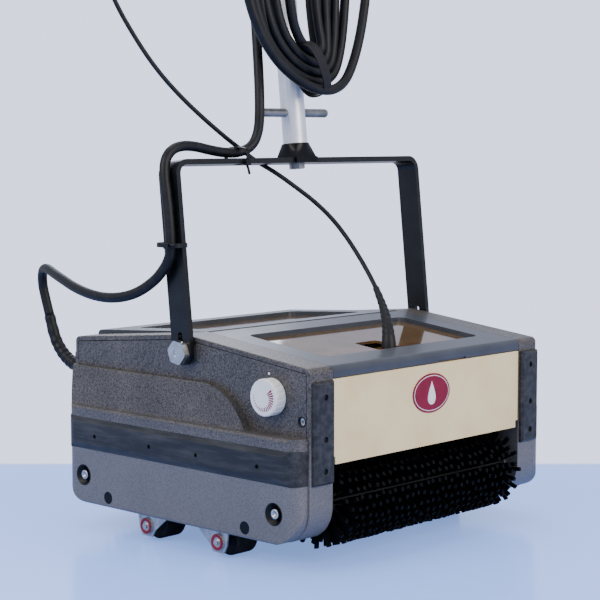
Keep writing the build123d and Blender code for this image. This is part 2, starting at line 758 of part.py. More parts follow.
scraper = block(-inner_half_width, inner_half_width, 88, 98.5, 119.5, 123.5)
blade_profile = shape_of([(90, 120), (94, 120), (93.2, 116.6), (91.4, 117.0)])
scraper += prism_x(blade_profile, -brush_half_length, brush_half_length)
save("drum_scraper", scraper)


# ---------- transport wheels ----------
def wheel_bracket():
    """Right-hand channel under the casting, with one leg plate each side of its wheels."""
    top = body_bottom
    reach = wheel_axis_y + 15
    bracket = block(bracket_near, bracket_far, -reach, reach, top - bracket_sheet, top)
    for end in (-1, 1):
        middle = end * wheel_axis_y
        opening = block(wheel_near - 2, wheel_far + 2, middle - 15, middle + 15, top - 5, top + 5)
        bracket -= opening & block(0, 300, -reach + 1.5, reach - 1.5, 0, 50)
        points = [(wheel_axis_y - 34, top), (wheel_axis_y + 15, top), (wheel_axis_y + 12.5, 14),
                  (wheel_axis_y + 8, 5.5), (wheel_axis_y - 8, 5.5), (wheel_axis_y - 12.5, 13)]
        leg = shape_of([(end * y, z) for y, z in points])
        bracket += prism_x(leg, bracket_far - bracket_sheet, bracket_far)
        bracket += prism_x(leg, bracket_near, bracket_near + bracket_sheet)
        axis = (end * wheel_axis_y, wheel_radius)
        bracket -= rod_x(*axis, wheel_bearing_radius, bracket_far - 5, bracket_far + 5)
        bracket -= rod_x(*axis, wheel_axle_radius, bracket_near - 5, bracket_near + 5)
    return bracket


save("wheel_brackets", both_sides(wheel_bracket()))
axles = []
for end in (-1, 1):
    axis = (end * wheel_axis_y, wheel_radius)
    axle = rod_x(*axis, wheel_axle_radius, bracket_near - 3, bracket_far + 4.5)
    axle += rod_x(*axis, 5.0, bracket_near - 3, bracket_near)
    axles.append(axle)
    axles.append(mirrored_x(axle))
save("wheel_axles", group(axles))
for side, side_name in ((-1, "left"), (1, "right")):
    for end, end_name in ((-1, "front"), (1, "rear")):
        axis = (end * wheel_axis_y, wheel_radius)
        tyre = rod_x(*axis, wheel_radius, wheel_near, wheel_far)
        tyre = fillet(tyre.edges(), 3.0)
        tyre -= rod_x(*axis, wheel_axle_radius + running_gap, wheel_near - 1, wheel_far + 1)
        if side < 0:
            tyre = mirrored_x(tyre)
        save(end_name + "_" + side_name + "_wheel", tyre)

# ---------- handle pivot ----------
arm_far = arm_near + arm_thickness
pivot = rod_x(pivot_y, pivot_z, pivot_radius, pocket_floor + 4, arm_far + 0.3)
pivot += rod_x(pivot_y, pivot_z, 12.0, half_width, arm_near - 0.3)
head = prism_x(Pos(pivot_y, pivot_z) * Rot(0, 0, 10) * RegularPolygon(13.8, 6), 0, 7.5)
head = head & rod_x(pivot_y, pivot_z, 13.2, -1, 9)
pivot += Pos(arm_far + 0.3, 0, 0) * head
pivot -= rod_x(pivot_y, pivot_z, 4.5, arm_far + 7.0, arm_far + 9)
save("pivot_bolts", both_sides(pivot))

# ---------- handle, drawn upright from its pivot and then leaned back ----------
handle_place = Pos(0, pivot_y, pivot_z) * Rot(-handle_lean, 0, 0)


def save_on_handle(name, shape):
    save(name, handle_place * shape)


def bail():
    """Flat bar bent into a stirrup, with keyhole slots for the pivot bolts."""
    outer = shape_of([(-arm_far, 0), (arm_far, 0), (arm_far, bail_height), (-arm_far, bail_height)])
    outer = fillet([v for v in outer.vertices() if v.Y > 1], bail_corner)
    top = bail_height - arm_thickness
    inner = shape_of([(-arm_near, -1), (arm_near, -1), (arm_near, top), (-arm_near, top)])
    inner = fillet([v for v in inner.vertices() if v.Y > 1], bail_corner - arm_thickness)
    half = bail_width / 2
    body = prism_y(outer - inner, -half, half)
    for x in (-arm_far, arm_near):
        body += rod_x(0, 0, half, x, x + arm_thickness)
    for x in (-arm_far - 1, arm_near - 1):
        body -= rod_x(0, 0, pivot_radius + 0.08, x, x + arm_thickness + 2)
        body -= block(x, x + arm_thickness + 2, -3.5, 3.5, 0, 18)
        body -= rod_x(0, 18, 3.5, x, x + arm_thickness + 2)
    return body - rod_z(0, 0, 5.0, top - 1, bail_height + 1)


def tube_socket():
    """Moulded foot that takes the tube, square below and round above."""
    low = Pos(0, 0, bail_height) * Rectangle(35, 31)
    high = Pos(0, 0, bail_height + 17) * Circle(tube_radius + 1.6)
    socket = loft([low, high])
    socket += block(-17.5, 17.5, -bail_width / 2 - 3, -bail_width / 2, bail_height - 6, bail_height + 1)
    socket -= rod_z(0, 0, tube_radius, tube_seat, bail_height + 20)
    return socket - rod_z(0, 0, 5.0, bail_height - 1, tube_seat + 1)


def handle_tube():
    top = tee_height
    tube = rod_z(0, 0, tube_radius, tube_seat, top)
    tee = rod_x(0, tee_height, tee_radius, -tee_half_length, tee_half_length)
    tube = tube + tee - rod_x(0, tee_height, tee_radius - 2, -tee_half_length - 1, tee_half_length + 1)
    tube -= rod_z(0, 0, tube_radius - tube_wall, tube_seat - 1, tee_height - 20)
    tube -= rod_x(0, pin_height, pin_radius, -20, 20)
    return tube - rod_y(0, hook_height, pin_radius, -20, 20)


def rounded_pin(length_half):
    pin = rod_x(0, pin_height, pin_radius, -length_half, length_half)
    return fillet(pin.edges(), 2.5)


def coil_hook():
    """Round bar through the tube, turned up at its front end."""
    bar_end = -62.0
    hook = rod_y(0, hook_height, pin_radius, bar_end, tube_radius + 3)
    hook += Pos(0, bar_end, hook_height) * Sphere(pin_radius)
    hook += rod_z(0, bar_end, pin_radius, hook_height, hook_height + 34)
    return hook + Pos(0, bar_end, hook_height + 34) * Sphere(pin_radius)


def socket_bolt():
    top = bail_height - arm_thickness
    bolt = rod_z(0, 0, 5.0, top, tube_seat)
    return bolt + prism_z(RegularPolygon(9.2, 6), top - 6, top)


save_on_handle("handle_bail", bail())
save_on_handle("tube_socket", tube_socket())
save_on_handle("handle_tube", handle_tube())
save_on_handle("handle_pins", group([rounded_pin(pin_half_length), coil_hook(), socket_bolt()]))

# ---------- switch box ----------
box_near = -tube_radius
box_face = box_near - 46
rocker_y = box_face + 10
rocker_z = (box_low + box_high) / 2 + 14
rocker_radius = 15.0
switch_box = block(-34, 34, box_face, box_near, box_low, box_high)
switch_box = fillet(switch_box.edges(), 5.0)
switch_box += rod_z(0, 0, tube_radius + 5, box_low + 20, box_high - 20)
switch_box += block(-tube_radius - 5, tube_radius + 5, box_near - 8, 0, box_low + 20, box_high - 20)
switch_box -= rod_z(0, 0, tube_radius, box_low - 1, box_high + 1)
switch_box -= rod_x(rocker_y, rocker_z, rocker_radius + 0.3, -11.3, 11.3)
for x in (-16, 16):
    switch_box += rod_z(x, box_near - 24, 9.0, box_low - 8, box_low + 1)
rocker = rod_x(rocker_y, rocker_z, rocker_radius, -11, 11)
rocker = rocker & block(-20, 20, box_face - 20, rocker_y - 2, rocker_z - 30, rocker_z + 30)
rocker += rod_x(rocker_y, rocker_z, 2.5, -11, 11)
rocker += block(-11, 11, rocker_y - 3, rocker_y, rocker_z - 2, rocker_z + 2)
save_on_handle("switch_box", switch_box)
save_on_handle("switch_rocker", rocker)

# ---------- grips and water lever ----------
grip_near = 50.0
grip = rod_x(0, tee_height, 16.0, grip_near, tee_half_length + 4)
grip = fillet(grip.edges(), 4.0)
for groove in range(8):
    x = grip_near + 8 + 11 * groove
    ring = rod_x(0, tee_height, 18.0, x, x + 3) - rod_x(0, tee_height, 15.0, x - 1, x + 4)
    grip -= ring
grip -= rod_x(0, tee_height, tee_radius, 0, tee_half_length)
save_on_handle("hand_grips", both_sides(grip))

lever_x = -36.0
lever_z = tee_height - 45
cheek_gap = 0.3
lever_half = 5.0
bracket = rod_x(0, tee_height, 15.0, lever_x - 9, lever_x + 9)
bracket += block(lever_x - 7, lever_x + 7, -9, 9, lever_z - 8, tee_height - 8)
cheek = lever_half + cheek_gap
bracket -= block(lever_x - 20, lever_x + 20, -cheek, cheek, lever_z - 9, lever_z + 12)
bracket -= rod_x(0, tee_height, tee_radius, lever_x - 20, lever_x + 20)
bracket += rod_y(lever_x, lever_z, 2.5, -9, 9)
barrel_x = lever_x + 12
bracket += rod_z(barrel_x, 0, 4.5, lever_z - 6, tee_height - 20)
bracket += block(lever_x + 6, barrel_x + 3, -6, 6, tee_height - 32, tee_height - 20)
save_on_handle("lever_bracket", bracket)
lever_reach = 112.0
lever = block(lever_x - lever_reach, lever_x + 5, -lever_half, lever_half, lever_z - 4, lever_z + 4)
lever = fillet(lever.edges().filter_by(Axis.Y), 3.0)
lever -= rod_y(lever_x, lever_z, 2.5 + running_gap, -10, 10)
save_on_handle("water_lever", lever)


# ---------- cords ----------
def cord_path(points):
    """Straight runs joined by the largest tangent arcs that the runs allow."""
    radii = []
    for before, corner, after in zip(points, points[1:], points[2:]):
        run_in = Vector(*corner) - Vector(*before)
        run_out = Vector(*after) - Vector(*corner)
        turn = math.radians(run_in.get_angle(run_out))
        shorter = min(run_in.length, run_out.length)
        radii.append(0.45 * shorter / math.tan(turn / 2))
    return FilletPolyline(*points, radius=radii), radii


def cord_tube(name, points, radius):
    path, radii = cord_path(points)
    tube = sweep((Plane(path @ 0, z_dir=path % 0) * Circle(radius)), path=path)
    expected = math.pi * radius ** 2 * path.length
    print(name, "length", round(path.length), "tightest bend", round(min(radii), 1),
          "volume ratio", round(tube.volume / expected, 3))
    save(name, tube)


def cone_between(start, end, start_radius, end_radius):
    direction = Vector(*end) - Vector(*start)
    place = Plane(Vector(*start), z_dir=direction)
    return place * Pos(0, 0, direction.length / 2) * Cone(start_radius, end_radius, direction.length)


def tapered_boot(points, radii):
    body = None
    for index in range(len(points) - 1):
        stretch = cone_between(points[index], points[index + 1], radii[index], radii[index + 1])
        body = stretch if body is None else body + stretch
        if index > 0:
            body += Pos(*points[index]) * Sphere(radii[index])
    return body


# the motor lead leaves the rear of the left casting and loops forward to the left arm
gland_seat = half_length + bumper_thickness
relief_points = [(-176, gland_seat + 4, 180), (-176, 203, 180), (-177.5, 215, 185), (-180, 227, 196),
                 (-182, 237, 213), (-183, 243, 236)]
save("lead_relief", tapered_boot(relief_points, [8.6, 8.5, 8.3, 8.0, 7.4, 6.6]))
gland = rod_y(-lead_x, lead_z, 11.5, gland_seat, gland_seat + 4)
gland += rod_y(-lead_x, lead_z, lead_radius, half_length - rim, gland_seat)
save("lead_gland", gland)
motor_lead_lower = [
    (-183, 243, 236), (-183.7, 249.6, 256), (-185.5, 253, 274), (-189.5, 247, 290),
    (-196, 231, 293.5), (-205, 207, 289), (-214, 180, 284), (-222, 146, 276), (-226, 108, 270),
    (-224, 78, 269.5), (-219, 50, 275.5), (-212.5, 27, 290), (-209.6, 13, 305), (-208.7, 6, 317),
    (-208.6, 4.2, 327)]
motor_lead_upper = [
    (-208.6, 4.3, 330), (-208.5, 5.5, 351), (-208.5, 9, 378), (-208.5, 13.5, 401), (-206, 16.2, 419),
    (-195.5, 17.2, 431), (-179, 17.8, 435.5), (-159, 18.2, 434.5), (-138, 18.6, 430.5), (-115, 18.8, 427.2),
    (-92, 18.4, 427), (-74, 15.5, 434), (-66.5, 13, 450), (-65, 12.5, 472), (-62, 16, 497), (-58, 21.5, 524),
    (-54, 28, 556), (-50, 35, 592), (-47, 42, 640), (-45, 49, 695), (-44, 56, 750), (-43, 62, 805),
    (-41, 66, 855), (-36, 63, 893), (-26, 50, 918), (-18, 37, 934), (-16, 35.7, 957.4)]
cord_tube("motor_lead_lower", motor_lead_lower, lead_radius)
cord_tube("motor_lead_upper", motor_lead_upper, lead_radius)

# the control cable runs from the valve cap over the front lid, under the bail and up to the lever
boot_points = [(-14, -135, 214), (-14, -135, 223), (-8, -128, 238), (0, -117, 252), (6, -106, 264),
               (10, -95, 277)]
save("cable_boot", tapered_boot(boot_points, [9.0, 7.2, 6.0, 5.2, 4.4, 3.6]))
control_cable_lower = [
    (10, -95, 277), (12.8, -83, 291), (13.8, -66, 311), (12, -49, 332), (6, -32, 353), (-6, -15, 372.5),
    (-22, 2, 390), (-37, 15.5, 404.5)]
control_cable_upper = [
    (-45, 36, 416), (-60, 41.5, 427), (-85, 48, 444.5), (-114, 57, 468), (-139, 66, 491.5), (-160, 76, 516.5),
    (-179, 87, 547), (-202, 101, 593), (-218, 111, 645), (-226, 118, 700), (-227, 121, 758), (-221, 120, 815),
    (-208, 116, 870), (-188, 110, 918), (-160, 103, 963), (-126, 97, 1000), (-91, 91.5, 1023), (-61, 88, 1036),
    (-38, 86, 1048), (-27, 85.6, 1065), (-24, 87.4, 1084.5)]
cord_tube("control_cable_lower", control_cable_lower, cable_radius)
cord_tube("control_cable_upper", control_cable_upper, cable_radius)

# the mains lead hangs in a long hank on the hook
coil_far = -19.0
coil_near = -43.0
coil_x = -8.0
coil_half_wide = 112.0
coil_low = 270.0
coil_high = 680.0
coil_hole_low = 334.0
coil_hole_high = 634.0
coil_hole_half = 20.0


def oval(low, high, half_wide):
    return Pos(coil_x, (low + high) / 2) * Ellipse(half_wide, (high - low) / 2)


hank = oval(coil_low, coil_high, coil_half_wide) - oval(coil_hole_low, coil_hole_high, coil_hole_half)
hook_clearance = 0.4
hank = prism_y(hank, coil_near, coil_far)
hank -= rod_y(0, hook_height, pin_radius + hook_clearance, coil_near - 1, coil_far + 1)
save_on_handle("mains_coil", hank)
mains_lead = [(16, 35.7, 957.4), (16, 33.4, 936), (19, 31, 912), (20, 31.5, 890), (14, 33, 870)]
cord_tube("mains_lead", mains_lead, lead_radius)

plug_y = coil_near - plug_body_radius - 1
plug = rod_z(plug_x, plug_y, plug_body_radius, plug_low, plug_low + 34)
plug = fillet(plug.edges(), 3.0)
plug += Pos(plug_x, plug_y, plug_low + 50) * Cone(12.0, 7.0, 34)
for x in (-plug_pin_spacing / 2, plug_pin_spacing / 2):
    plug += rod_z(plug_x + x, plug_y, plug_pin_radius, plug_low - plug_pin_length, plug_low + 1)
save_on_handle("mains_plug", plug)
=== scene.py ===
# %% [markdown]
# # A walk-behind floor scrubber
# The mechanics of this machine are already modelled to size: two side castings, a tank, two lids,
# brushes, wheels and a tilting handle. This script loads them as a fixed frame and gives them
# their looks. Hard parts, strips and tyres keep their own mesh and get a finish. The cords and
# their rubber boots, the bristles, the ties, the seals and the small marks are made here.

# %% Load the frame
import math

import bmesh
import bpy
import numpy as np
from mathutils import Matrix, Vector


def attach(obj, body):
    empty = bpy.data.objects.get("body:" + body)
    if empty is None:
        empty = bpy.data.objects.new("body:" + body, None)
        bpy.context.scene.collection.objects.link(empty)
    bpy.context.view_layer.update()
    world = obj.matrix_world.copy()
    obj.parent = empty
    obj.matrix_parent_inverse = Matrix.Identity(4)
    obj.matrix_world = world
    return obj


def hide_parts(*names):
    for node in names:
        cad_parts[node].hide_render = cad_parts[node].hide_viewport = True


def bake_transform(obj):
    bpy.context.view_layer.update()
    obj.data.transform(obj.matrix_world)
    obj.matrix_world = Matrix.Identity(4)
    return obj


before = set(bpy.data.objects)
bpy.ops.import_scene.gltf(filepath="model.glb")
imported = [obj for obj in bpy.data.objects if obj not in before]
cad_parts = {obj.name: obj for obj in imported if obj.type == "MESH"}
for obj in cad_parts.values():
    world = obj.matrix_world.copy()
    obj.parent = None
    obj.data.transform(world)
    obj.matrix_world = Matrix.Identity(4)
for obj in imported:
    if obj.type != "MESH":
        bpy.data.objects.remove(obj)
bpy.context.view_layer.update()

MM = 0.001

# %% [markdown]
# ## Camera
# A long lens from slightly above the floor keeps the body's upright edges nearly parallel. It
# looks slightly down, so the tops of the lids just show.

# %% Camera
CAMERA_PLACE = (-1.4435, -1.3456, 0.4459)
CAMERA_HEADING = math.radians(43.24)
CAMERA_DIP = math.radians(5.46)
LENS_MM = 103.1

camera_data = bpy.data.cameras.new("camera")
camera_data.lens = LENS_MM
camera_data.sensor_width = 36.0
camera = bpy.data.objects.new("camera", camera_data)
looks_along = Vector((math.cos(CAMERA_HEADING) * math.cos(CAMERA_DIP),
                      math.sin(CAMERA_HEADING) * math.cos(CAMERA_DIP),
                      -math.sin(CAMERA_DIP)))
camera.location = CAMERA_PLACE
camera.rotation_euler = looks_along.to_track_quat("-Z", "Y").to_euler()
bpy.context.scene.collection.objects.link(camera)
bpy.context.scene.camera = camera


# %% [markdown]
# ## The handle's own frame
# The handle leans back a few degrees about its side pivots. Pieces on it are easiest to place
# upright, as if the handle stood straight, and are leaned afterwards by one function.

# %% The leaning handle
PIVOT = np.array([0.0, -4.0, 215.5])
LEAN = math.radians(6.0)


def on_handle(points):
    """Leans upright points (mm, measured from the pivot) back about X and moves them to the pivot."""
    points = np.atleast_2d(np.asarray(points, float))
    x, y, z = points.T
    leaned_y = y * math.cos(LEAN) + z * math.sin(LEAN)
    leaned_z = z * math.cos(LEAN) - y * math.sin(LEAN)
    return np.stack([x, leaned_y, leaned_z], 1) + PIVOT


# %% [markdown]
# ## Cords
# A cord is one smooth curve with a few control points: it leaves a gland straight, droops under
# its own weight and is tied to the frame where a tie holds it. A NURBS curve passes near its
# control points without kinks, which is how a rubber sheath bends. Where a cord crosses the
# handle's pivot it must bend with the handle; here it is swept into one mesh tube, which is
# attached to neither body.

# %% Curve and tube helpers
def centre_line(points_mm, name):
    """Points in metres along a NURBS curve whose control points are the route's points."""
    curve = bpy.data.curves.new(name, "CURVE")
    curve.dimensions = "3D"
    spline = curve.splines.new("NURBS")
    spline.points.add(len(points_mm) - 1)
    places = np.c_[np.asarray(points_mm, float) * MM, np.ones(len(points_mm))]
    spline.points.foreach_set("co", places.astype(np.float32).ravel())
    spline.order_u = 3
    spline.use_endpoint_u = True
    spline.resolution_u = 10
    bare = bpy.data.objects.new(name, curve)
    bpy.context.scene.collection.objects.link(bare)
    mesh = bpy.data.meshes.new_from_object(bare)
    line = np.empty(len(mesh.vertices) * 3, np.float32)
    mesh.vertices.foreach_get("co", line)
    bpy.data.objects.remove(bare)
    bpy.data.meshes.remove(mesh)
    return line.reshape(-1, 3).astype(float)


def line_length(line):
    return float(np.linalg.norm(np.diff(line, axis=0), axis=1).sum())


def make_mesh(name, vertices, faces, smooth=True):
    """Mesh object from arrays of vertices (metres) and faces, with smooth shading."""
    mesh = bpy.data.meshes.new(name)
    mesh.from_pydata([tuple(v) for v in vertices], [], [tuple(f) for f in faces])
    mesh.polygons.foreach_set("use_smooth", np.full(len(mesh.polygons), smooth))
    mesh.update()
    piece = bpy.data.objects.new(name, mesh)
    bpy.context.scene.collection.objects.link(piece)
    return piece


def grid_faces(rings, around, closed_rings=False):
    """Quads between neighbouring rings of a grid whose rows close on themselves."""
    last = rings if closed_rings else rings - 1
    ring, step = np.meshgrid(np.arange(last), np.arange(around), indexing="ij")
    ring = ring.ravel()
    step = step.ravel()
    following = (ring + 1) % rings
    beside = (step + 1) % around
    return np.stack([ring * around + step, ring * around + beside,
                     following * around + beside, following * around + step], 1)


def carried_frames(line):
    """Two unit sideways directions at each point, turned as little as possible along the line."""
    forward = np.gradient(line, axis=0)
    forward /= np.linalg.norm(forward, axis=1)[:, None]
    side = np.cross(forward[0], [0.3, 0.5, 0.8])
    sides = []
    for along in forward:
        side = side - along * (side @ along)
        side = side / np.linalg.norm(side)
        sides.append(side)
    sides = np.array(sides)
    return sides, np.cross(forward, sides)


def tube_along(name, line, radii, around=20):
    """Tube: at each point of the line a circle of that point's radius, with fan caps at the ends."""
    side, other = carried_frames(line)
    radii = np.broadcast_to(np.asarray(radii, float), len(line))
    turn = np.linspace(0, 2 * math.pi, around, endpoint=False)
    ring = np.cos(turn)[None, :, None] * side[:, None, :] + np.sin(turn)[None, :, None] * other[:, None, :]
    vertices = (line[:, None, :] + ring * radii[:, None, None]).reshape(-1, 3)
    faces = [tuple(f) for f in grid_faces(len(line), around)]
    first = len(vertices)
    vertices = np.vstack([vertices, line[0], line[-1]])
    low = (len(line) - 1) * around
    for k in range(around):
        beside = (k + 1) % around
        faces.append((beside, k, first))
        faces.append((low + k, low + beside, first + 1))
    return make_mesh(name, vertices, faces)


# %% [markdown]
# ### The motor lead
# It comes out of the rear of the left casting through a ribbed relief, loops forward to the left
# arm where a tie holds it, climbs the arm and follows the tube to the switch box.

# %% Motor lead
LEAD_RADIUS = 5.6
CABLE_RADIUS = 2.6
motor_lead_lower = [
    (-183, 243, 236), (-183.7, 249.6, 256), (-185.5, 253, 274), (-189.5, 247, 290),
    (-196, 231, 293.5), (-205, 207, 289), (-214, 180, 284), (-222, 146, 276), (-226, 108, 270),
    (-224, 78, 269.5), (-219, 50, 275.5), (-212.5, 27, 290), (-209.6, 13, 305), (-208.7, 6, 317),
    (-208.6, 4.2, 327)]
motor_lead_upper = [
    (-208.6, 4.3, 330), (-208.5, 5.5, 351), (-208.5, 9, 378), (-208.5, 13.5, 401), (-206, 16.2, 419),
    (-195.5, 17.2, 431), (-179, 17.8, 435.5), (-159, 18.2, 434.5), (-138, 18.6, 430.5), (-115, 18.8, 427.2),
    (-92, 18.4, 427), (-74, 15.5, 434), (-66.5, 13, 450), (-65, 12.5, 472), (-62, 16, 497), (-58, 21.5, 524),
    (-54, 28, 556), (-50, 35, 592), (-47, 42, 640), (-45, 49, 695), (-44, 56, 750), (-43, 62, 805),
    (-41, 66, 855), (-36, 63, 893), (-26, 50, 918), (-18, 37, 934), (-16, 35.7, 957.4)]
lead_line = centre_line(motor_lead_lower + motor_lead_upper, "motor_lead_line")
motor_lead = tube_along("motor_lead", lead_line, LEAD_RADIUS * MM)
print("motor lead:", round(line_length(lead_line), 3), "m")

# %% [markdown]
# ### The control cable
# A thin pull cable opens the water valve under the front lid. It rises from a rubber boot in the
# window's slot, passes under the crossbar and swings out in a wide bow up to the lever.

# %% Control cable
control_cable_lower = [
    (10, -95, 277), (12.8, -83, 291), (13.8, -66, 311), (12, -49, 332), (6, -32, 353), (-6, -15, 372.5),
    (-22, 2, 390), (-37, 15.5, 404.5)]
control_cable_upper = [
    (-45, 36, 416), (-60, 41.5, 427), (-85, 48, 444.5), (-114, 57, 468), (-139, 66, 491.5), (-160, 76, 516.5),
    (-179, 87, 547), (-202, 101, 593), (-218, 111, 645), (-226, 118, 700), (-227, 121, 758), (-221, 120, 815),
    (-208, 116, 870), (-188, 110, 918), (-160, 103, 963), (-126, 97, 1000), (-91, 91.5, 1023),
    (-61, 88, 1036), (-38, 86, 1048), (-27, 85.6, 1065), (-24, 87.4, 1084.5)]
cable_line = centre_line(control_cable_lower + control_cable_upper, "control_cable_line")
control_cable = tube_along("control_cable", cable_line, CABLE_RADIUS * MM, around=14)
print("control cable:", round(line_length(cable_line), 3), "m")

# %% [markdown]
# ### The mains lead
# The mains lead leaves the switch box, drops to the hook and is wound there in long hanging
# turns. A cord over a bar hangs as a long oval: straight sides, and round ends whose radius the
# rubber itself chooses. Seven turns hang in two layers, narrow ones inside wide ones, and the
# eighth is loose and swings out in front. Each turn's size runs smoothly into the next one on
# its way up, to keep the strands apart.

# %% Mains lead and its hanging turns
TURN_POINTS = 20
COIL_SIDE_SHIFT = -18.0
COIL_FOOT_SHIFT = 26.0

turns = [
    # half width, top, bottom, depth
    (30, 643, 318, -25.2),
    (49, 654, 306, -25.2),
    (68, 665, 294, -25.2),
    (84, 673, 287, -36.6),
    (64, 662, 298, -36.6),
    (45, 651, 309, -36.6),
    (26, 641.5, 321, -36.6),
    (108, 645, 276, -48.0),
]


def eased(x, start, end):
    """0 before start, 1 after end, and a smooth S between them."""
    t = np.clip((x - start) / (end - start), 0, 1)
    return t * t * (3 - 2 * t)


def hanging_turn(now, following):
    """One turn in the handle's upright frame, down on the right and up on the left.

    The height is middle + half height * cos(a). The width is sin(a) divided by the root of
    sin(a)^2 + k cos(a)^2, where k sets the radius of the round ends. On the way up the depth
    changes first and the width afterwards, towards those of the following turn."""
    a = 2 * math.pi * np.arange(TURN_POINTS) / TURN_POINTS
    part = a / (2 * math.pi)
    deeper = eased(part, 0.52, 0.72)
    wider = eased(part, 0.62, 1.0)
    width = now[0] + (following[0] - now[0]) * wider
    top = now[1] + (following[1] - now[1]) * wider
    low = now[2] + (following[2] - now[2]) * wider
    depth = now[3] + (following[3] - now[3]) * deeper
    half = (top - low) / 2
    end_radius = np.where(np.cos(a) > 0, 12 + 0.35 * width, 14 + 0.55 * width)
    k = width ** 2 / (end_radius * half)
    across = width * np.sin(a) / np.sqrt(np.sin(a) ** 2 + k * np.cos(a) ** 2)
    shift = COIL_SIDE_SHIFT * (1 - np.cos(a)) / 2 + COIL_FOOT_SHIFT * np.clip(-np.cos(a), 0, 1) ** 6
    return np.stack([shift + across, depth, (top + low) / 2 + half * np.cos(a)], 1)


mains_lead_start = [(16, 35.7, 957.4), (16, 33.4, 936), (19, 31, 912), (20, 31.5, 890), (14, 33, 870)]
last_turn = (108, 656, 276, -50.0)
coil = [hanging_turn(now, following) for now, following in zip(turns, turns[1:] + [last_turn])]
to_plug = [(3, -51, 657), (20, -55, 655), (34, -59.5, 642), (42, -62, 622), (44, -62.5, 604),
           (44, -62.5, 588)]
mains_points = np.vstack([mains_lead_start, on_handle(np.vstack(coil)), on_handle(to_plug)])
mains_line = centre_line(mains_points, "mains_line")
mains_lead = tube_along("mains_lead_and_turns", mains_line, LEAD_RADIUS * MM, around=16)
print("mains lead:", round(line_length(mains_line), 3), "m", len(mains_line), "rings")

# %% [markdown]
# ### What is on the cords
# Two cable ties hold the motor lead, one to the left arm and one to the crossbar. A rubber
# strap gathers the foot of the turns. Both are flat bands swept round what they hold.

# %% Bands: cable ties and the strap
def band(name, loop, width_direction, width, thickness):
    """Closed flat band: a rectangle of width by thickness carried round a closed loop of points."""
    loop = np.asarray(loop, float)
    along = np.roll(loop, -1, axis=0) - np.roll(loop, 1, axis=0)
    along /= np.linalg.norm(along, axis=1)[:, None]
    across = np.asarray(width_direction, float)
    across = across - along * (along @ across)[:, None]
    across /= np.linalg.norm(across, axis=1)[:, None]
    outward = np.cross(along, across)
    corners = [(-1, -0.5), (-1, 0.5), (1, 0.5), (1, -0.5)]
    rings = [loop + across * (u * width / 2) + outward * (v * thickness) for u, v in corners]
    vertices = np.stack(rings, 1).reshape(-1, 3) * MM
    piece = make_mesh(name, vertices, grid_faces(len(loop), 4, closed_rings=True), smooth=False)
    softened = piece.modifiers.new("bevel", "BEVEL")
    softened.width = 0.25 * thickness * MM
    softened.segments = 2
    return piece


def rounded_loop(half_wide, half_high, power, count=48):
    """Superellipse: (|x|/a)^p + (|y|/b)^p = 1, walked once round."""
    turn = np.linspace(0, 2 * math.pi, count, endpoint=False)
    x = half_wide * np.sign(np.cos(turn)) * np.abs(np.cos(turn)) ** (2 / power)
    y = half_high * np.sign(np.sin(turn)) * np.abs(np.sin(turn)) ** (2 / power)
    return x, y


# round the left arm and the lead beside it
wide, deep = rounded_loop(11.2, 16.6, 3.2)
arm_tie_loop = np.stack([-203.9 + wide, 7.4 + deep, np.full_like(wide, 330.0)], 1)
arm_tie = band("arm_cable_tie", arm_tie_loop, (0, 0, 1), 4.8, 1.3)

# round the crossbar and the lead that runs along it
deep, high = rounded_loop(17.4, 9.6, 3.0)
bar_tie_loop = np.stack([np.full_like(deep, -97.0), 16.6 + deep, 423.6 + high], 1)
bar_tie = band("crossbar_cable_tie", bar_tie_loop, (1, 0, 0), 4.8, 1.3)

# round the foot of the turns, tilted as the cords pull it
strap_wide, strap_high = rounded_loop(13.0, 31.0, 2.6)
strap_tilt = math.radians(22)
strap_local = np.stack([-6 + strap_high * -math.sin(strap_tilt),
                        -38.0 + strap_wide * 1.55,
                        303 + strap_high * math.cos(strap_tilt)], 1)
strap_across = (math.cos(strap_tilt), 0, math.sin(strap_tilt))
coil_strap = band("coil_strap", on_handle(strap_local), strap_across, 13.0, 1.6)


# %% [markdown]
# ## Solid shapes turned from a profile
# The bearing seals, the liners of the shaft holes, the screw cups, the bolt heads and the white
# index dot are all profiles turned about an axis, so one function makes them. The locking heads
# of the cable ties are small boxes with softened edges.

# %% Turned and boxed shapes
def turned(name, profile, centre, axis, around=48):
    """Turns (radius, distance along axis) pairs in mm about an axis; the profile closes on itself."""
    axis = Vector(axis).normalized()
    side = axis.orthogonal().normalized()
    other = axis.cross(side)
    turn = np.linspace(0, 2 * math.pi, around, endpoint=False)
    radii, along = np.asarray(profile, float).T
    ring = np.outer(np.cos(turn), side) + np.outer(np.sin(turn), other)
    vertices = (np.asarray(centre, float) + along[:, None, None] * np.asarray(axis)
                + radii[:, None, None] * ring[None, :, :]).reshape(-1, 3) * MM
    closes = abs(radii[0]) > 1e-6
    faces = grid_faces(len(radii), around, closed_rings=closes)
    piece = make_mesh(name, vertices, faces)
    return clean(piece)


def clean(piece):
    """Merges doubled points at poles and turns every face outwards."""
    mesh = bmesh.new()
    mesh.from_mesh(piece.data)
    bmesh.ops.remove_doubles(mesh, verts=mesh.verts, dist=1e-6)
    bmesh.ops.dissolve_degenerate(mesh, edges=mesh.edges, dist=1e-7)
    bmesh.ops.recalc_face_normals(mesh, faces=mesh.faces)
    mesh.to_mesh(piece.data)
    mesh.free()
    return piece


def soften(piece, width_mm):
    """Bevel on the sharp edges, with normals kept flat on the flats."""
    bevel = piece.modifiers.new("bevel", "BEVEL")
    bevel.width = width_mm * MM
    bevel.segments = 3
    bevel.limit_method = "ANGLE"
    bevel.angle_limit = math.radians(35)
    bevel.harden_normals = True
    return piece


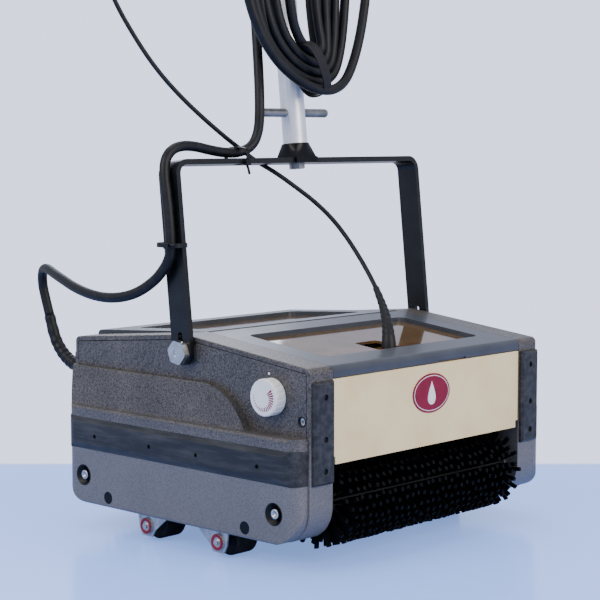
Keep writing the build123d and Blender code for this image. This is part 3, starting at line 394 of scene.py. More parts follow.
def boxed(name, low, high):
    """Box between two corners in mm."""
    corners = np.array([(x, y, z) for x in (0, 1) for y in (0, 1) for z in (0, 1)], float)
    vertices = (np.asarray(low) + corners * (np.asarray(high) - np.asarray(low))) * MM
    faces = [(0, 1, 3, 2), (4, 6, 7, 5), (0, 4, 5, 1), (2, 3, 7, 6), (0, 2, 6, 4), (1, 5, 7, 3)]
    return make_mesh(name, vertices, faces, smooth=False)


def joined(name, pieces):
    """One object from several, with their points put end to end."""
    vertices = []
    faces = []
    for piece in pieces:
        start = len(vertices)
        vertices += [tuple(v.co) for v in piece.data.vertices]
        faces += [tuple(start + k for k in face.vertices) for face in piece.data.polygons]
        bpy.data.objects.remove(piece)
    return make_mesh(name, vertices, faces)


# the ties' locking heads and cut tails
tie_heads = {}
for name, low, high, tail in (
        ("arm_tie_head", (-219.0, -2.0, 326.6), (-213.6, 5.5, 333.4), ((-216, -2, 330), (-221, -14, 331))),
        ("bar_tie_head", (-100.4, -2.5, 413.5), (-93.6, 3.5, 419.5), ((-97, 1, 414), (-99, -5, 404)))):
    head = soften(boxed(name, low, high), 0.8)
    tie_heads[name] = head
    start, end = np.asarray(tail, float)
    middle = (start + end) / 2 + np.array([0.0, 0.0, 1.0])
    tail_line = np.array([start, middle, end]) * MM
    tie_heads[name + "_tail"] = tube_along(name + "_tail", tail_line, 1.5 * MM, around=6)


# %% [markdown]
# ## Reliefs on the cords
# Where a cord leaves the machine a rubber boot spreads the bend. Each boot here is a tube whose
# radius shrinks along the cord, with shallow rings moulded into it so that it can flex.

# %% Boots
relief_points = [(-176, 193.5, 180), (-176, 203, 180), (-177.5, 215, 185), (-180, 227, 196),
                 (-182, 237, 213), (-183, 243, 236)]
boot_points = [(-14, -135, 214), (-14, -135, 223), (-8, -128, 238), (0, -117, 252),
               (6, -106, 264), (10, -95, 277)]


def boot(name, points_mm, root_mm, tip_mm, rings, groove_mm):
    """Tube from root radius to tip radius; a cosine of the distance along it cuts the grooves."""
    line = centre_line(points_mm, name + "_line")
    fine = np.linspace(0, len(line) - 1, 150)
    line = np.stack([np.interp(fine, np.arange(len(line)), line[:, k]) for k in range(3)], 1)
    along = np.linspace(0, 1, len(line))
    radius = root_mm + (tip_mm - root_mm) * along ** 0.8
    radius = radius - groove_mm * (0.5 - 0.5 * np.cos(2 * math.pi * rings * along)) * eased(along, 0.1, 0.2)
    radius[-3:] -= np.array([0.1, 0.3, 0.6])
    return tube_along(name, line, radius * MM, around=28)


lead_boot = boot("lead_relief_boot", relief_points, 8.6, 6.7, 9, 0.5)
valve_boot = boot("cable_boot_rubber", boot_points, 8.6, 3.8, 11, 0.35)

# %% [markdown]
# ## Brushes
# A cylinder brush is a roller drilled in staggered rows, with a tuft of nylon filaments stapled
# into each hole. Every tuft here is seven filaments that stand on the roller and spread a little
# towards their tips. The outermost tufts are bent outwards by use.

# %% Tufted brushes
TUFT_PITCH = 10.5
TUFT_COLUMNS = 28
FILAMENT_RADIUS = 0.95
FILAMENT_SIDES = 4
FILAMENTS = 7
BRUSH_Y = 150.0
BRUSH_Z = 63.0
BRUSH_ROOT = 20.8
BRUSH_TIP = 46.4
BRUSH_HALF_LENGTH = 150.0


def tufted_brush(name, axis_y, axis_z, root, tip, half_length, seed):
    """Filaments as thin prisms: each has a root point on the roller and a tip point further out.

    A tuft stands at an angle round the roller and a place along it, and every other row is
    moved by half a pitch. Filament k of a tuft sits on a small ring whose radius grows from
    root to tip."""
    draw = np.random.default_rng(seed)
    rows = int(2 * half_length / TUFT_PITCH)
    row, column = np.meshgrid(np.arange(rows), np.arange(TUFT_COLUMNS), indexing="ij")
    row = row.ravel()
    column = column.ravel()
    stagger = np.where(column % 2 == 0, 0.25, -0.25)
    x = (row - (rows - 1) / 2 + stagger) * TUFT_PITCH
    angle = 2 * math.pi * column / TUFT_COLUMNS
    lean = draw.normal(0, 0.028, len(x))
    splay = 5.0 * np.sign(x) * np.clip((np.abs(x) - half_length + 16) / 16, 0, 1)
    side_lean = draw.normal(0, 0.7, len(x)) + splay
    tuft_tip = tip - np.abs(draw.normal(0, 0.5, len(x)))
    seat = np.arange(FILAMENTS)
    ring = np.where(seat == 0, 0.0, 1.0)
    ring_angle = 2 * math.pi * seat / (FILAMENTS - 1)
    root_x = x[:, None] + 1.1 * ring * np.cos(ring_angle)
    tip_x = x[:, None] + side_lean[:, None] + 1.75 * ring * np.cos(ring_angle)
    root_angle = angle[:, None] + 1.1 * ring * np.sin(ring_angle) / root
    tip_angle = (angle + lean)[:, None] + 1.75 * ring * np.sin(ring_angle) / tip
    tip_radius = tuft_tip[:, None] - np.abs(draw.normal(0, 0.45, root_x.shape))
    limit = half_length + 6.0
    tip_x = np.clip(tip_x, -limit, limit)
    corner = 2 * math.pi * (np.arange(FILAMENT_SIDES) + 0.5) / FILAMENT_SIDES
    vertices = []
    for at_x, at_angle, at_radius in ((root_x, root_angle, np.full(root_x.shape, root)),
                                      (tip_x, tip_angle, tip_radius)):
        px = at_x[..., None] + FILAMENT_RADIUS * np.cos(corner)
        turn = at_angle[..., None] + FILAMENT_RADIUS * np.sin(corner) / at_radius[..., None]
        py = axis_y + at_radius[..., None] * np.cos(turn)
        pz = axis_z + at_radius[..., None] * np.sin(turn)
        vertices.append(np.stack([px, py, pz], -1))
    places = np.stack(vertices, 2).reshape(-1, 3) * MM
    count = len(x) * FILAMENTS
    first = np.arange(count)[:, None] * 2 * FILAMENT_SIDES
    k = np.arange(FILAMENT_SIDES)
    beside = (k + 1) % FILAMENT_SIDES
    sides = np.stack([first + k, first + FILAMENT_SIDES + k,
                      first + FILAMENT_SIDES + beside, first + beside], -1).reshape(-1, 4)
    tips = first + FILAMENT_SIDES + k[::-1]
    roots = first + k
    faces = np.vstack([sides, tips, roots])
    piece = make_mesh(name, places, faces, smooth=False)
    print(name, "tufts:", len(x), "filaments:", count)
    return clean(piece)


front_tufts = tufted_brush("front_brush_tufts", -BRUSH_Y, BRUSH_Z, BRUSH_ROOT, BRUSH_TIP,
                           BRUSH_HALF_LENGTH, seed=11)
rear_tufts = tufted_brush("rear_brush_tufts", BRUSH_Y, BRUSH_Z, BRUSH_ROOT, BRUSH_TIP,
                          BRUSH_HALF_LENGTH, seed=12)

# %% [markdown]
# ## Small trim
# The water knob carries a ring of wedges that grow as it opens. The panel wears a plain oval
# badge with a drop of water, and the wheel bearings have crimson dust seals. Black liners sit in
# the holes round the shaft ends and screws.

# %% Flat marks
def flat_marks(name, outlines, thickness_axis):
    """Thin prisms: each outline in mm is copied along thickness_axis and its sides are closed."""
    vertices = []
    faces = []
    for outline in outlines:
        outline = np.asarray(outline, float)
        start = len(vertices)
        count = len(outline)
        vertices += [tuple(p * MM) for p in outline]
        vertices += [tuple(p * MM) for p in outline + np.asarray(thickness_axis)]
        faces.append(tuple(start + k for k in range(count)))
        faces.append(tuple(start + count + k for k in reversed(range(count))))
        faces += [(start + k, start + count + k, start + count + (k + 1) % count, start + (k + 1) % count)
                  for k in range(count)]
    return clean(make_mesh(name, vertices, faces, smooth=False))


KNOB_FACE_X = -206.7
KNOB_Y = -131.0
KNOB_Z = 180.0
MARK_RADIUS = 14.4
wedges = []
MARKS = 20
for mark in range(MARKS):
    grown = mark / (MARKS - 1)
    # seen from the left side, angles run anticlockwise from the front of the machine
    middle = math.radians(175 + 222 * grown)
    half = math.radians(1.5 + 2.5 * grown)
    inner = MARK_RADIUS - 1.5 - 6.4 * grown ** 1.2
    wedge = [(KNOB_FACE_X + 0.1, KNOB_Y - r * math.cos(a), KNOB_Z + r * math.sin(a))
             for r, a in ((inner, middle - 0.8 * half), (MARK_RADIUS, middle - half),
                          (MARK_RADIUS, middle + half), (inner, middle + 0.8 * half))]
    wedges.append(wedge)
knob_marks = flat_marks("dosing_knob_marks", wedges, (-0.25, 0, 0))
knob_dot = turned("cover_dot", [(0, 0), (1.5, 0), (1.4, 0.35), (0.8, 0.6), (0, 0.7)],
                  (-193.2, -126.4, 203.2), (-1, 0, 0), around=20)

# %% Oval badge with a water drop
BADGE_HEIGHT = 168.0
PANEL_Y = -183.5
walk = np.linspace(0, 2 * math.pi, 96, endpoint=False)


def badge_layer(name, half_wide, half_high, back, thickness):
    """Oval layer of the badge: x = a cos t and z = b sin t, from back to back + thickness."""
    x = half_wide * np.cos(walk)
    z = BADGE_HEIGHT + half_high * np.sin(walk)
    return flat_marks(name, [np.stack([x, np.full_like(x, PANEL_Y - back), z], 1)], (0, -thickness, 0))


badge_disc = badge_layer("badge_disc", 31.5, 21.5, 0.0, 0.8)
badge_ring = badge_layer("badge_ring", 29.4, 19.4, 0.7, 0.2)
badge_field = badge_layer("badge_field", 28.6, 18.6, 0.8, 0.2)
# a drop: a circle whose upper half is drawn out to a point
drop_x = 9.5 * np.sin(walk) * np.sin(walk / 2) ** 1.6
drop_z = 13.0 * np.cos(walk)
drop = np.stack([drop_x, np.full_like(drop_x, PANEL_Y - 0.9), BADGE_HEIGHT + 0.5 + drop_z], 1)
badge_drop = flat_marks("badge_drop", [drop], (0, -0.3, 0))

# %% Liners, seals, screw cups and bolts
BOTH = (-1, 1)


def at_sides(name, profile, x, y, z, around, ends=BOTH):
    """One object of turned profiles on both sides of the body, at its front and rear ends."""
    return joined(name, [turned(name + "_part", profile, (side * x, end * y, z), (side, 0, 0), around)
                         for side in BOTH for end in ends])


SEAL = [(5.4, 0), (8.9, 0), (8.9, 0.5), (8.4, 0.8), (5.8, 0.8), (5.4, 0.5)]
LINER = [(11.95, -7.9), (11.95, 0.3), (11.2, 0.3), (11.0, -7.0), (6.4, -7.2), (6.4, -7.9)]
CUP = [(4.35, -1.9), (4.95, -1.9), (4.95, 0.1), (5.6, 0.1), (5.5, 0.4), (4.35, 0.4)]
# a socket-head bolt on each end of a brush shaft, seen down the hole in the side cover
BOLT = [(0, 0.4), (2.4, 0.4), (2.4, 2.4), (4.8, 2.4), (5.4, 1.9), (5.4, -0.3), (0, -0.3)]

bearing_seals = at_sides("bearing_dust_seals", SEAL, 200.9, 56.4, 17.0, 40)
shaft_liners = at_sides("shaft_hole_liners", LINER, 211.2, BRUSH_Y, BRUSH_Z, 40)
screw_cups = at_sides("screw_cups", CUP, 193.2, 172.5, 158.3, 32)
front_shaft_bolts = at_sides("front_shaft_bolts", BOLT, 208.0, BRUSH_Y, BRUSH_Z, 40, ends=(-1,))
rear_shaft_bolts = at_sides("rear_shaft_bolts", BOLT, 208.0, BRUSH_Y, BRUSH_Z, 40, ends=(1,))

# %% [markdown]
# ## Finishes
# Each finish is a small node tree. Colours are written as sRGB hex, as a paint maker lists them,
# and one function turns them into the linear values that light works with. Pattern sizes are
# real sizes in millimetres: a scale of one pattern per millimetre is 1000 in a scene in metres.

# %% Node helpers
def colour(hex_text):
    """sRGB hex to linear RGBA: values under 0.04045 are divided by 12.92, others follow a 2.4 power."""
    parts = [int(hex_text[k:k + 2], 16) / 255 for k in (1, 3, 5)]
    return tuple(p / 12.92 if p <= 0.04045 else ((p + 0.055) / 1.055) ** 2.4 for p in parts) + (1.0,)


def per_mm(size_mm):
    """Texture scale at which one feature is about this many millimetres wide."""
    return 1000.0 / size_mm


def add_node(tree, kind, inputs=None, stops=None, **settings):
    """Adds a node. inputs maps socket names to values or to outputs to link; stops fill a ramp."""
    node = tree.nodes.new(kind)
    for name, value in settings.items():
        setattr(node, name, value)
    for socket, value in (inputs or {}).items():
        if isinstance(value, bpy.types.NodeSocket):
            tree.links.new(value, node.inputs[socket])
        else:
            node.inputs[socket].default_value = value
    if stops:
        ramp = node.color_ramp
        while len(ramp.elements) < len(stops):
            ramp.elements.new(0.5)
        for element, (place, tone) in zip(ramp.elements, stops):
            element.position = place
            element.color = colour(tone) if isinstance(tone, str) else (tone, tone, tone, 1.0)
    return node


def new_material(name, **shader_values):
    """Material with one Principled shader; shader_values are its sockets' names, with _ for space."""
    material = bpy.data.materials.new(name)
    material.use_nodes = True
    tree = material.node_tree
    tree.nodes.clear()
    shader = add_node(tree, "ShaderNodeBsdfPrincipled")
    output = add_node(tree, "ShaderNodeOutputMaterial")
    tree.links.new(shader.outputs[0], output.inputs[0])
    for socket, value in shader_values.items():
        shader.inputs[socket.replace("_", " ")].default_value = value
    return material, tree, shader


def object_place(tree, scale=(1, 1, 1)):
    """Object coordinates, stretched by scale so that a pattern can be longer one way."""
    place = add_node(tree, "ShaderNodeTexCoord")
    return add_node(tree, "ShaderNodeMapping", {"Vector": place.outputs["Object"], "Scale": scale}).outputs[0]


# %% Hammer-finish enamel on the castings and covers
# Hammer enamel draws itself into small cells while it dries: each cell is a shallow dimple with
# a light flake of aluminium in it, so the surface glitters grey on darker grey.
hammer, tree, shader = new_material("hammer_finish_enamel", Metallic=0.2, Specular_IOR_Level=0.4,
                                    Coat_Weight=0.15, Coat_Roughness=0.25)
place = object_place(tree)
flake = add_node(tree, "ShaderNodeTexNoise",
                 {"Vector": place, "Scale": per_mm(1.7), "Detail": 2.0, "Roughness": 0.6})
cells = add_node(tree, "ShaderNodeTexVoronoi", {"Vector": place, "Scale": per_mm(2.2)}, feature="SMOOTH_F1")
broad = add_node(tree, "ShaderNodeTexNoise", {"Vector": place, "Scale": per_mm(70), "Detail": 2.0})
tone = add_node(tree, "ShaderNodeValToRGB", {"Fac": flake.outputs["Fac"]},
                stops=[(0.34, "#2c2a29"), (0.50, "#58534e"), (0.70, "#716b64")])
shade = add_node(tree, "ShaderNodeValToRGB", {"Fac": broad.outputs["Fac"]},
                 stops=[(0.3, "#d6d8dc"), (0.7, "#ffffff")])
worn = add_node(tree, "ShaderNodeMix", {0: 1.0, 6: tone.outputs[0], 7: shade.outputs[0]},
                data_type="RGBA", blend_type="MULTIPLY")
# low down the sides are lighter: painted light, standing in for the light that the pale floor throws back up,
# together with dust that settles there
height = add_node(tree, "ShaderNodeSeparateXYZ", {"Vector": place})
low_down = add_node(tree, "ShaderNodeMapRange",
                    {"Value": height.outputs["Z"], "From Min": 0.15, "From Max": 0.09})
dust_and_bounce_light_share = add_node(tree, "ShaderNodeMath", {0: low_down.outputs[0], 1: 0.38}, operation="MULTIPLY")
# this mix paints the floor's bounce light and the dust in one pale grey towards the bottom
dust = add_node(tree, "ShaderNodeMix", {0: dust_and_bounce_light_share.outputs[0], 6: worn.outputs[2], 7: colour("#8d8b8c")},
                data_type="RGBA")
tree.links.new(dust.outputs[2], shader.inputs["Base Color"])
gloss = add_node(tree, "ShaderNodeMapRange", {"Value": flake.outputs["Fac"], "To Min": 0.50, "To Max": 0.34})
tree.links.new(gloss.outputs[0], shader.inputs["Roughness"])
dimple = add_node(tree, "ShaderNodeBump",
                  {"Strength": 0.35, "Distance": 0.0004, "Height": cells.outputs["Distance"]})
tree.links.new(dimple.outputs[0], shader.inputs["Normal"])

# %% Satin paint on the lids
# Sprayed over moulded plastic: smooth to the eye, with a fine orange peel in the highlights.
lid_paint, tree, shader = new_material("satin_lid_paint", Specular_IOR_Level=0.4, Coat_Weight=0.2,
                                       Coat_Roughness=0.2)
place = object_place(tree)
grain = add_node(tree, "ShaderNodeTexNoise", {"Vector": place, "Scale": per_mm(1.4), "Detail": 2.0})
broad = add_node(tree, "ShaderNodeTexNoise", {"Vector": place, "Scale": per_mm(45), "Detail": 3.0})
tone = add_node(tree, "ShaderNodeValToRGB", {"Fac": broad.outputs["Fac"]},
                stops=[(0.3, "#35383e"), (0.7, "#40444a")])
tree.links.new(tone.outputs[0], shader.inputs["Base Color"])
gloss = add_node(tree, "ShaderNodeMapRange", {"Value": broad.outputs["Fac"], "To Min": 0.30, "To Max": 0.46})
tree.links.new(gloss.outputs[0], shader.inputs["Roughness"])
peel = add_node(tree, "ShaderNodeBump",
                {"Strength": 0.25, "Distance": 0.0002, "Height": grain.outputs["Fac"]})
tree.links.new(peel.outputs[0], shader.inputs["Normal"])


# %% Moulded rubber
# Rubber straight from the mould is matt black; rubbing polishes it in streaks along the machine
# and leaves grey dust in between.
def rubber(name, dark, dust_and_bounce_light_share, stretch, roughness, streak_mm=7.0):
    material, tree, shader = new_material(name, Specular_IOR_Level=0.28)
    place = object_place(tree, stretch)
    streaks = add_node(tree, "ShaderNodeTexNoise",
                       {"Vector": place, "Scale": per_mm(streak_mm), "Detail": 5.0, "Roughness": 0.65})
    tone = add_node(tree, "ShaderNodeValToRGB", {"Fac": streaks.outputs["Fac"]},
                    stops=[(0.42, dark), (0.78, dust_and_bounce_light_share)])
    tree.links.new(tone.outputs[0], shader.inputs["Base Color"])
    gloss = add_node(tree, "ShaderNodeMapRange", {"Value": streaks.outputs["Fac"],
                                                  "To Min": roughness - 0.1, "To Max": roughness + 0.16})
    tree.links.new(gloss.outputs[0], shader.inputs["Roughness"])
    fine = add_node(tree, "ShaderNodeTexNoise",
                    {"Vector": object_place(tree), "Scale": per_mm(0.9), "Detail": 2.0})
    skin = add_node(tree, "ShaderNodeBump",
                    {"Strength": 0.2, "Distance": 0.0002, "Height": fine.outputs["Fac"]})
    tree.links.new(skin.outputs[0], shader.inputs["Normal"])
    return material


strip_rubber = rubber("moulded_strip_rubber", "#242527", "#464646", (1, 0.12, 1), 0.40)
tyre_rubber = rubber("tyre_rubber", "#131314", "#2b2b2b", (1, 1, 1), 0.62)
sheath_rubber = rubber("cord_sheath_rubber", "#0b0c0d", "#1c1d1f", (1, 1, 1), 0.44, 11.0)
grip_rubber = rubber("grip_rubber", "#141416", "#232326", (1, 1, 1), 0.58)
belt_rubber = rubber("belt_rubber", "#17181a", "#27282a", (1, 1, 1), 0.6)


# %% Moulded plastics
# Injection-moulded plastic takes the gloss of its mould. Under the gloss lies a faint flow
# mottle, and handling adds soft stains.
def plastic(name, tint, stain, roughness, coat=0.0, grain_height=0.08, stain_mm=40.0, shine=0.5):
    material, tree, shader = new_material(name, Specular_IOR_Level=shine, Coat_Weight=coat,
                                          Coat_Roughness=0.12)
    place = object_place(tree)
    mottle = add_node(tree, "ShaderNodeTexNoise", {"Vector": place, "Scale": per_mm(stain_mm), "Detail": 4.0})
    tone = add_node(tree, "ShaderNodeValToRGB", {"Fac": mottle.outputs["Fac"]},
                    stops=[(0.35, stain), (0.6, tint)])
    tree.links.new(tone.outputs[0], shader.inputs["Base Color"])
    gloss = add_node(tree, "ShaderNodeMapRange", {"Value": mottle.outputs["Fac"],
                                                  "To Min": roughness + 0.08, "To Max": roughness - 0.05})
    tree.links.new(gloss.outputs[0], shader.inputs["Roughness"])
    grain = add_node(tree, "ShaderNodeTexNoise", {"Vector": place, "Scale": per_mm(0.8), "Detail": 2.0})
    skin = add_node(tree, "ShaderNodeBump",
                    {"Strength": grain_height, "Distance": 0.0002, "Height": grain.outputs["Fac"]})
    tree.links.new(skin.outputs[0], shader.inputs["Normal"])
    return material


cream_plastic = plastic("cream_moulded_plastic", "#fae2a6", "#f4d998", 0.26, coat=0.3)
white_plastic = plastic("white_moulded_plastic", "#efeeea", "#e4e2dc", 0.30, coat=0.3)
natural_nylon = plastic("natural_machined_nylon", "#d8d3c4", "#cbc5b4", 0.45)
black_plastic = plastic("black_moulded_nylon", "#0a0b0c", "#121315", 0.38, grain_height=0.2, shine=0.28)
black_glossy = plastic("black_glossy_plastic", "#08080a", "#0d0e12", 0.26, coat=0.05, shine=0.15)
crimson_plastic = plastic("crimson_moulded_plastic", "#86061f", "#74041a", 0.30, coat=0.2, shine=0.35)
crimson_print = plastic("crimson_print", "#86002a", "#7a0024", 0.34, coat=0.1, stain_mm=12.0, shine=0.3)
white_print = plastic("white_print", "#f1efe9", "#e9e6de", 0.36, stain_mm=12.0)
bristle_nylon = plastic("black_bristle_nylon", "#040405", "#08080a", 0.42, stain_mm=6.0, shine=0.12)
motor_enamel = plastic("dark_motor_enamel", "#34383d", "#2c2f34", 0.45, grain_height=0.2)


# %% Powder coat on the handle bar
bar_coat, tree, shader = new_material("satin_black_powder_coat", Specular_IOR_Level=0.3,
                                      Coat_Weight=0.12, Coat_Roughness=0.16)
place = object_place(tree)
peel = add_node(tree, "ShaderNodeTexNoise", {"Vector": place, "Scale": per_mm(1.8), "Detail": 1.5})
rub = add_node(tree, "ShaderNodeTexNoise", {"Vector": place, "Scale": per_mm(22), "Detail": 4.0})
tone = add_node(tree, "ShaderNodeValToRGB", {"Fac": rub.outputs["Fac"]},
                stops=[(0.45, "#08090a"), (0.75, "#141619")])
tree.links.new(tone.outputs[0], shader.inputs["Base Color"])
gloss = add_node(tree, "ShaderNodeMapRange", {"Value": rub.outputs["Fac"], "To Min": 0.26, "To Max": 0.44})
tree.links.new(gloss.outputs[0], shader.inputs["Roughness"])
skin = add_node(tree, "ShaderNodeBump", {"Strength": 0.3, "Distance": 0.0002, "Height": peel.outputs["Fac"]})
tree.links.new(skin.outputs[0], shader.inputs["Normal"])


# %% Bare and plated metals
# Metal shows its making in its highlights. Turned and drawn parts have fine lines one way, which
# stretch the noise; zinc plate is even and slightly cloudy.
def metal(name, light, dark, roughness, stretch=(1, 1, 1), cloud_mm=14.0, bare=1.0):
    material, tree, shader = new_material(name, Metallic=bare)
    cloud = add_node(tree, "ShaderNodeTexNoise",
                     {"Vector": object_place(tree), "Scale": per_mm(cloud_mm), "Detail": 4.0})
    tone = add_node(tree, "ShaderNodeValToRGB", {"Fac": cloud.outputs["Fac"]},
                    stops=[(0.35, dark), (0.65, light)])
    tree.links.new(tone.outputs[0], shader.inputs["Base Color"])
    lines = add_node(tree, "ShaderNodeTexNoise",
                     {"Vector": object_place(tree, stretch), "Scale": per_mm(0.7), "Detail": 2.0})
    gloss = add_node(tree, "ShaderNodeMapRange", {"Value": lines.outputs["Fac"],
                                                  "To Min": roughness - 0.08, "To Max": roughness + 0.12})
    tree.links.new(gloss.outputs[0], shader.inputs["Roughness"])
    skin = add_node(tree, "ShaderNodeBump",
                    {"Strength": 0.12, "Distance": 0.0001, "Height": lines.outputs["Fac"]})
    tree.links.new(skin.outputs[0], shader.inputs["Normal"])
    return material


zinc_plate = metal("bright_zinc_plate", "#cfcfcb", "#b2b2ae", 0.30)
galvanised = metal("galvanised_sheet", "#c3c6c8", "#a4a7aa", 0.42, cloud_mm=9.0)
turned_steel = metal("turned_steel", "#c9c8c5", "#aeadaa", 0.26, (0.05, 1, 1))
dull_steel = metal("dull_steel_bar", "#9b9b99", "#7b7b7a", 0.42, (0.08, 1, 1))
satin_aluminium = metal("satin_anodised_aluminium", "#eceef2", "#dfe2e8", 0.34, (1, 1, 0.03), bare=0.4)

# %% Smoked acrylic panes
# Cast acrylic: a smooth sheet with a brown tint. A thin dusting shows as slight roughness.
smoked, tree, shader = new_material("smoked_acrylic", IOR=1.49, Transmission_Weight=0.82,
                                    Specular_IOR_Level=0.4, Coat_Weight=0.1, Coat_Roughness=0.04)
place = object_place(tree)
dust = add_node(tree, "ShaderNodeTexNoise",
                {"Vector": place, "Scale": per_mm(30), "Detail": 5.0, "Roughness": 0.6})
tone = add_node(tree, "ShaderNodeValToRGB", {"Fac": dust.outputs["Fac"]},
                stops=[(0.35, "#a98655"), (0.7, "#c3a172")])
tree.links.new(tone.outputs[0], shader.inputs["Base Color"])
gloss = add_node(tree, "ShaderNodeMapRange", {"Value": dust.outputs["Fac"], "To Min": 0.03, "To Max": 0.12})
tree.links.new(gloss.outputs[0], shader.inputs["Roughness"])

# %% [markdown]
# ## Which finish goes where
# The mechanical parts keep their meshes. Each one's material slots are filled with the finish of
# the real part, so the table below reads like a parts list with a finish column.

# %% Finishes of the mechanical parts
finishes = {
    "left_side_casting": hammer, "right_side_casting": hammer,
    "left_side_cover": hammer, "right_side_cover": hammer,
    "side_bumper_strips": strip_rubber, "corner_bumpers": strip_rubber,
    "bumper_screws": black_plastic, "cover_screws": zinc_plate, "cover_plugs": black_glossy,
    "ridge_beam": lid_paint, "motor_deck": galvanised,
    "front_lid_frame": lid_paint, "rear_lid_frame": lid_paint,
    "front_lid_window": smoked, "rear_lid_window": smoked,
    "water_tank": cream_plastic, "waste_tray": cream_plastic,
    "valve_bridge": crimson_plastic, "valve_plunger": natural_nylon, "dosing_bar": natural_nylon,
    "dosing_knob": white_plastic, "motor_housing": motor_enamel, "motor_rotor": turned_steel,
    "motor_pulley": satin_aluminium, "drive_belts": belt_rubber, "cluster_gear": natural_nylon,
    "drum_gear": natural_nylon, "ball_bearings": turned_steel,
    "front_brush_roller": black_plastic, "rear_brush_roller": black_plastic,
    "pickup_drum": natural_nylon, "drum_scraper": belt_rubber,
    "wheel_brackets": galvanised, "wheel_axles": turned_steel,
    "front_left_wheel": tyre_rubber, "front_right_wheel": tyre_rubber,
    "rear_left_wheel": tyre_rubber, "rear_right_wheel": tyre_rubber,
    "pivot_bolts": zinc_plate, "handle_bail": bar_coat, "tube_socket": black_glossy,
    "handle_tube": satin_aluminium, "handle_pins": dull_steel, "switch_box": black_plastic,
    "switch_rocker": crimson_plastic, "hand_grips": grip_rubber, "lever_bracket": black_plastic,
    "water_lever": black_plastic, "lead_gland": black_plastic, "mains_plug": black_plastic,
}


def give_finish(piece, material):
    if not piece.material_slots:
        piece.data.materials.append(material)
    for slot in piece.material_slots:
        slot.material = material


for node, material in finishes.items():
    give_finish(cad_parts[node], material)
print("finished", len(finishes), "mechanical parts")

# %% New pieces: finish, body and what they stand for
new_pieces = [
    # piece, finish, body, record's slot
    (coil_strap, grip_rubber, "handle", "black_rubber"),
    (arm_tie, black_plastic, "handle", "black_plastic"),
    (bar_tie, black_plastic, "handle", "black_plastic"),
    (mains_lead, sheath_rubber, "handle", "cord_sheath"),
    (lead_boot, sheath_rubber, "chassis", "cord_sheath"),
    (valve_boot, sheath_rubber, "chassis", "cord_sheath"),
    (front_tufts, bristle_nylon, "front_brush", "bristles"),
    (rear_tufts, bristle_nylon, "rear_brush", "bristles"),
    (knob_marks, crimson_print, "dosing_knob", "red_plastic"),
    (knob_dot, white_print, "chassis", "white_plastic"),
    (badge_disc, crimson_print, "chassis", "red_plastic"),
    (badge_ring, white_print, "chassis", "white_plastic"),
    (badge_field, crimson_print, "chassis", "red_plastic"),
    (badge_drop, white_print, "chassis", "white_plastic"),
    (front_shaft_bolts, zinc_plate, "front_brush", "zinc_steel"),
    (rear_shaft_bolts, zinc_plate, "rear_brush", "zinc_steel"),
    (bearing_seals, crimson_plastic, "chassis", "red_plastic"),
    (shaft_liners, black_plastic, "chassis", "black_plastic"),
    (screw_cups, black_plastic, "chassis", "black_plastic"),
]
new_pieces += [(piece, black_plastic, "handle", "black_plastic") for piece in tie_heads.values()]
for piece, material, body, slot in new_pieces:
    give_finish(piece, material)
    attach(piece, body)
for piece in (motor_lead, control_cable):
    give_finish(piece, sheath_rubber)

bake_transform(motor_lead)
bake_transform(control_cable)
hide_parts("motor_lead_lower", "motor_lead_upper")
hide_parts("control_cable_lower", "control_cable_upper")
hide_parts("mains_lead", "mains_coil")
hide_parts("lead_relief")
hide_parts("cable_boot")
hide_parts("front_brush_bristles")
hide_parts("rear_brush_bristles")

# %% [markdown]
# ## Studio
# A glossy pale blue floor runs up to a plain pale wall. The wall has the same tone as the
# world's light, so it has no edge of its own. The camera sees the wall brighter than the machine
# does, and the floor glows a little for the camera alone. Large soft lamps stand on the left, in
# front, above and behind.

# %% Floor and wall tone
WALL_TONE = "#c9d0e8"
WALL_STRENGTH = 2.6
ROOM_STRENGTH = 1.15
FLOOR_TONE = "#8fb2fb"
FLOOR_GLOW = 0.8
FLOOR_END = 0.338
FLOOR_HALF = 6.0

world = bpy.data.worlds.new("studio")
world.use_nodes = True
background = world.node_tree.nodes["Background"]
background.inputs["Color"].default_value = colour(WALL_TONE)
# the lit wall is brighter than the rest of the room, which is all that the machine reflects
seen = add_node(world.node_tree, "ShaderNodeLightPath").outputs["Is Camera Ray"]
strength = add_node(world.node_tree, "ShaderNodeMapRange",
                    {"Value": seen, "To Min": ROOM_STRENGTH, "To Max": WALL_STRENGTH})
world.node_tree.links.new(strength.outputs[0], background.inputs["Strength"])
bpy.context.scene.world = world

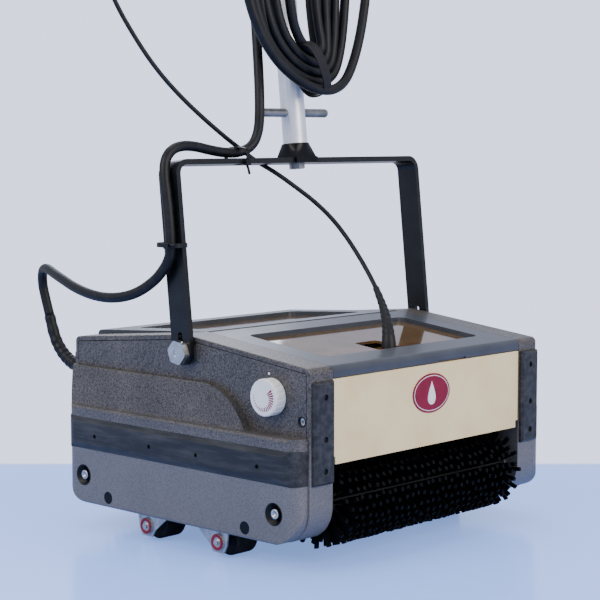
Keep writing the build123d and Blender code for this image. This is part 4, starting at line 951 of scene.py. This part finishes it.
corners = FLOOR_HALF * np.array([(-1, -1, 0), (1, -1, 0), (1, 1, 0), (-1, 1, 0)], float)
floor = make_mesh("studio_floor", corners, [(0, 1, 2, 3)], smooth=False)
floor_finish = bpy.data.materials.new("glossy_floor")
floor_finish.use_nodes = True
tree = floor_finish.node_tree
tree.nodes.clear()
place = add_node(tree, "ShaderNodeTexCoord")
spun = add_node(tree, "ShaderNodeVectorRotate", {"Vector": place.outputs["Object"], "Angle": -CAMERA_HEADING},
                rotation_type="Z_AXIS")
parts = add_node(tree, "ShaderNodeSeparateXYZ", {"Vector": spun.outputs[0]})
past_end = add_node(tree, "ShaderNodeMapRange", {"Value": parts.outputs["X"], "From Min": FLOOR_END - 0.004,
                                                 "From Max": FLOOR_END + 0.010})
far_off = add_node(tree, "ShaderNodeVectorMath", {0: place.outputs["Object"]}, operation="LENGTH")
fade = add_node(tree, "ShaderNodeMapRange",
                {"Value": far_off.outputs["Value"], "From Min": 1.6, "From Max": 4.0})
wall_part = add_node(tree, "ShaderNodeMath", {0: past_end.outputs[0], 1: fade.outputs[0]},
                     operation="MAXIMUM")
seen = add_node(tree, "ShaderNodeLightPath").outputs["Is Camera Ray"]
glow = add_node(tree, "ShaderNodeMath", {0: seen, 1: FLOOR_GLOW}, operation="MULTIPLY")
gloss = add_node(tree, "ShaderNodeBsdfPrincipled",
                 {"Base Color": colour(FLOOR_TONE), "Roughness": 0.16, "Specular IOR Level": 0.35,
                  "Emission Color": colour(FLOOR_TONE), "Emission Strength": glow.outputs[0]})
strength = add_node(tree, "ShaderNodeMapRange",
                    {"Value": seen, "To Min": ROOM_STRENGTH, "To Max": WALL_STRENGTH})
wall = add_node(tree, "ShaderNodeEmission",
                {"Color": colour(WALL_TONE), "Strength": strength.outputs[0]})
both = add_node(tree, "ShaderNodeMixShader",
                {0: wall_part.outputs[0], 1: gloss.outputs[0], 2: wall.outputs[0]})
add_node(tree, "ShaderNodeOutputMaterial", {"Surface": both.outputs[0]})
floor.data.materials.append(floor_finish)


# %% Lamps
def soft_lamp(name, place, target, size, watts, tint):
    lamp = bpy.data.lights.new(name, "AREA")
    lamp.size = size
    lamp.energy = watts
    lamp.color = colour(tint)[:3]
    holder = bpy.data.objects.new(name, lamp)
    holder.location = place
    holder.rotation_euler = (Vector(target) - Vector(place)).to_track_quat("-Z", "Y").to_euler()
    bpy.context.scene.collection.objects.link(holder)


soft_lamp("window_light", (-2.6, 0.3, 1.9), (0, 0, 0.25), 1.6, 52, "#fffaf2")
soft_lamp("front_fill", (0.2, -2.8, 1.4), (0, 0, 0.2), 1.8, 64, "#fff3e2")
soft_lamp("overhead", (0.3, 0.4, 2.6), (0, 0, 0.3), 1.8, 20, "#ffffff")
soft_lamp("rim_light", (1.6, 2.2, 1.6), (0, 0, 0.4), 1.2, 16, "#eef3ff")
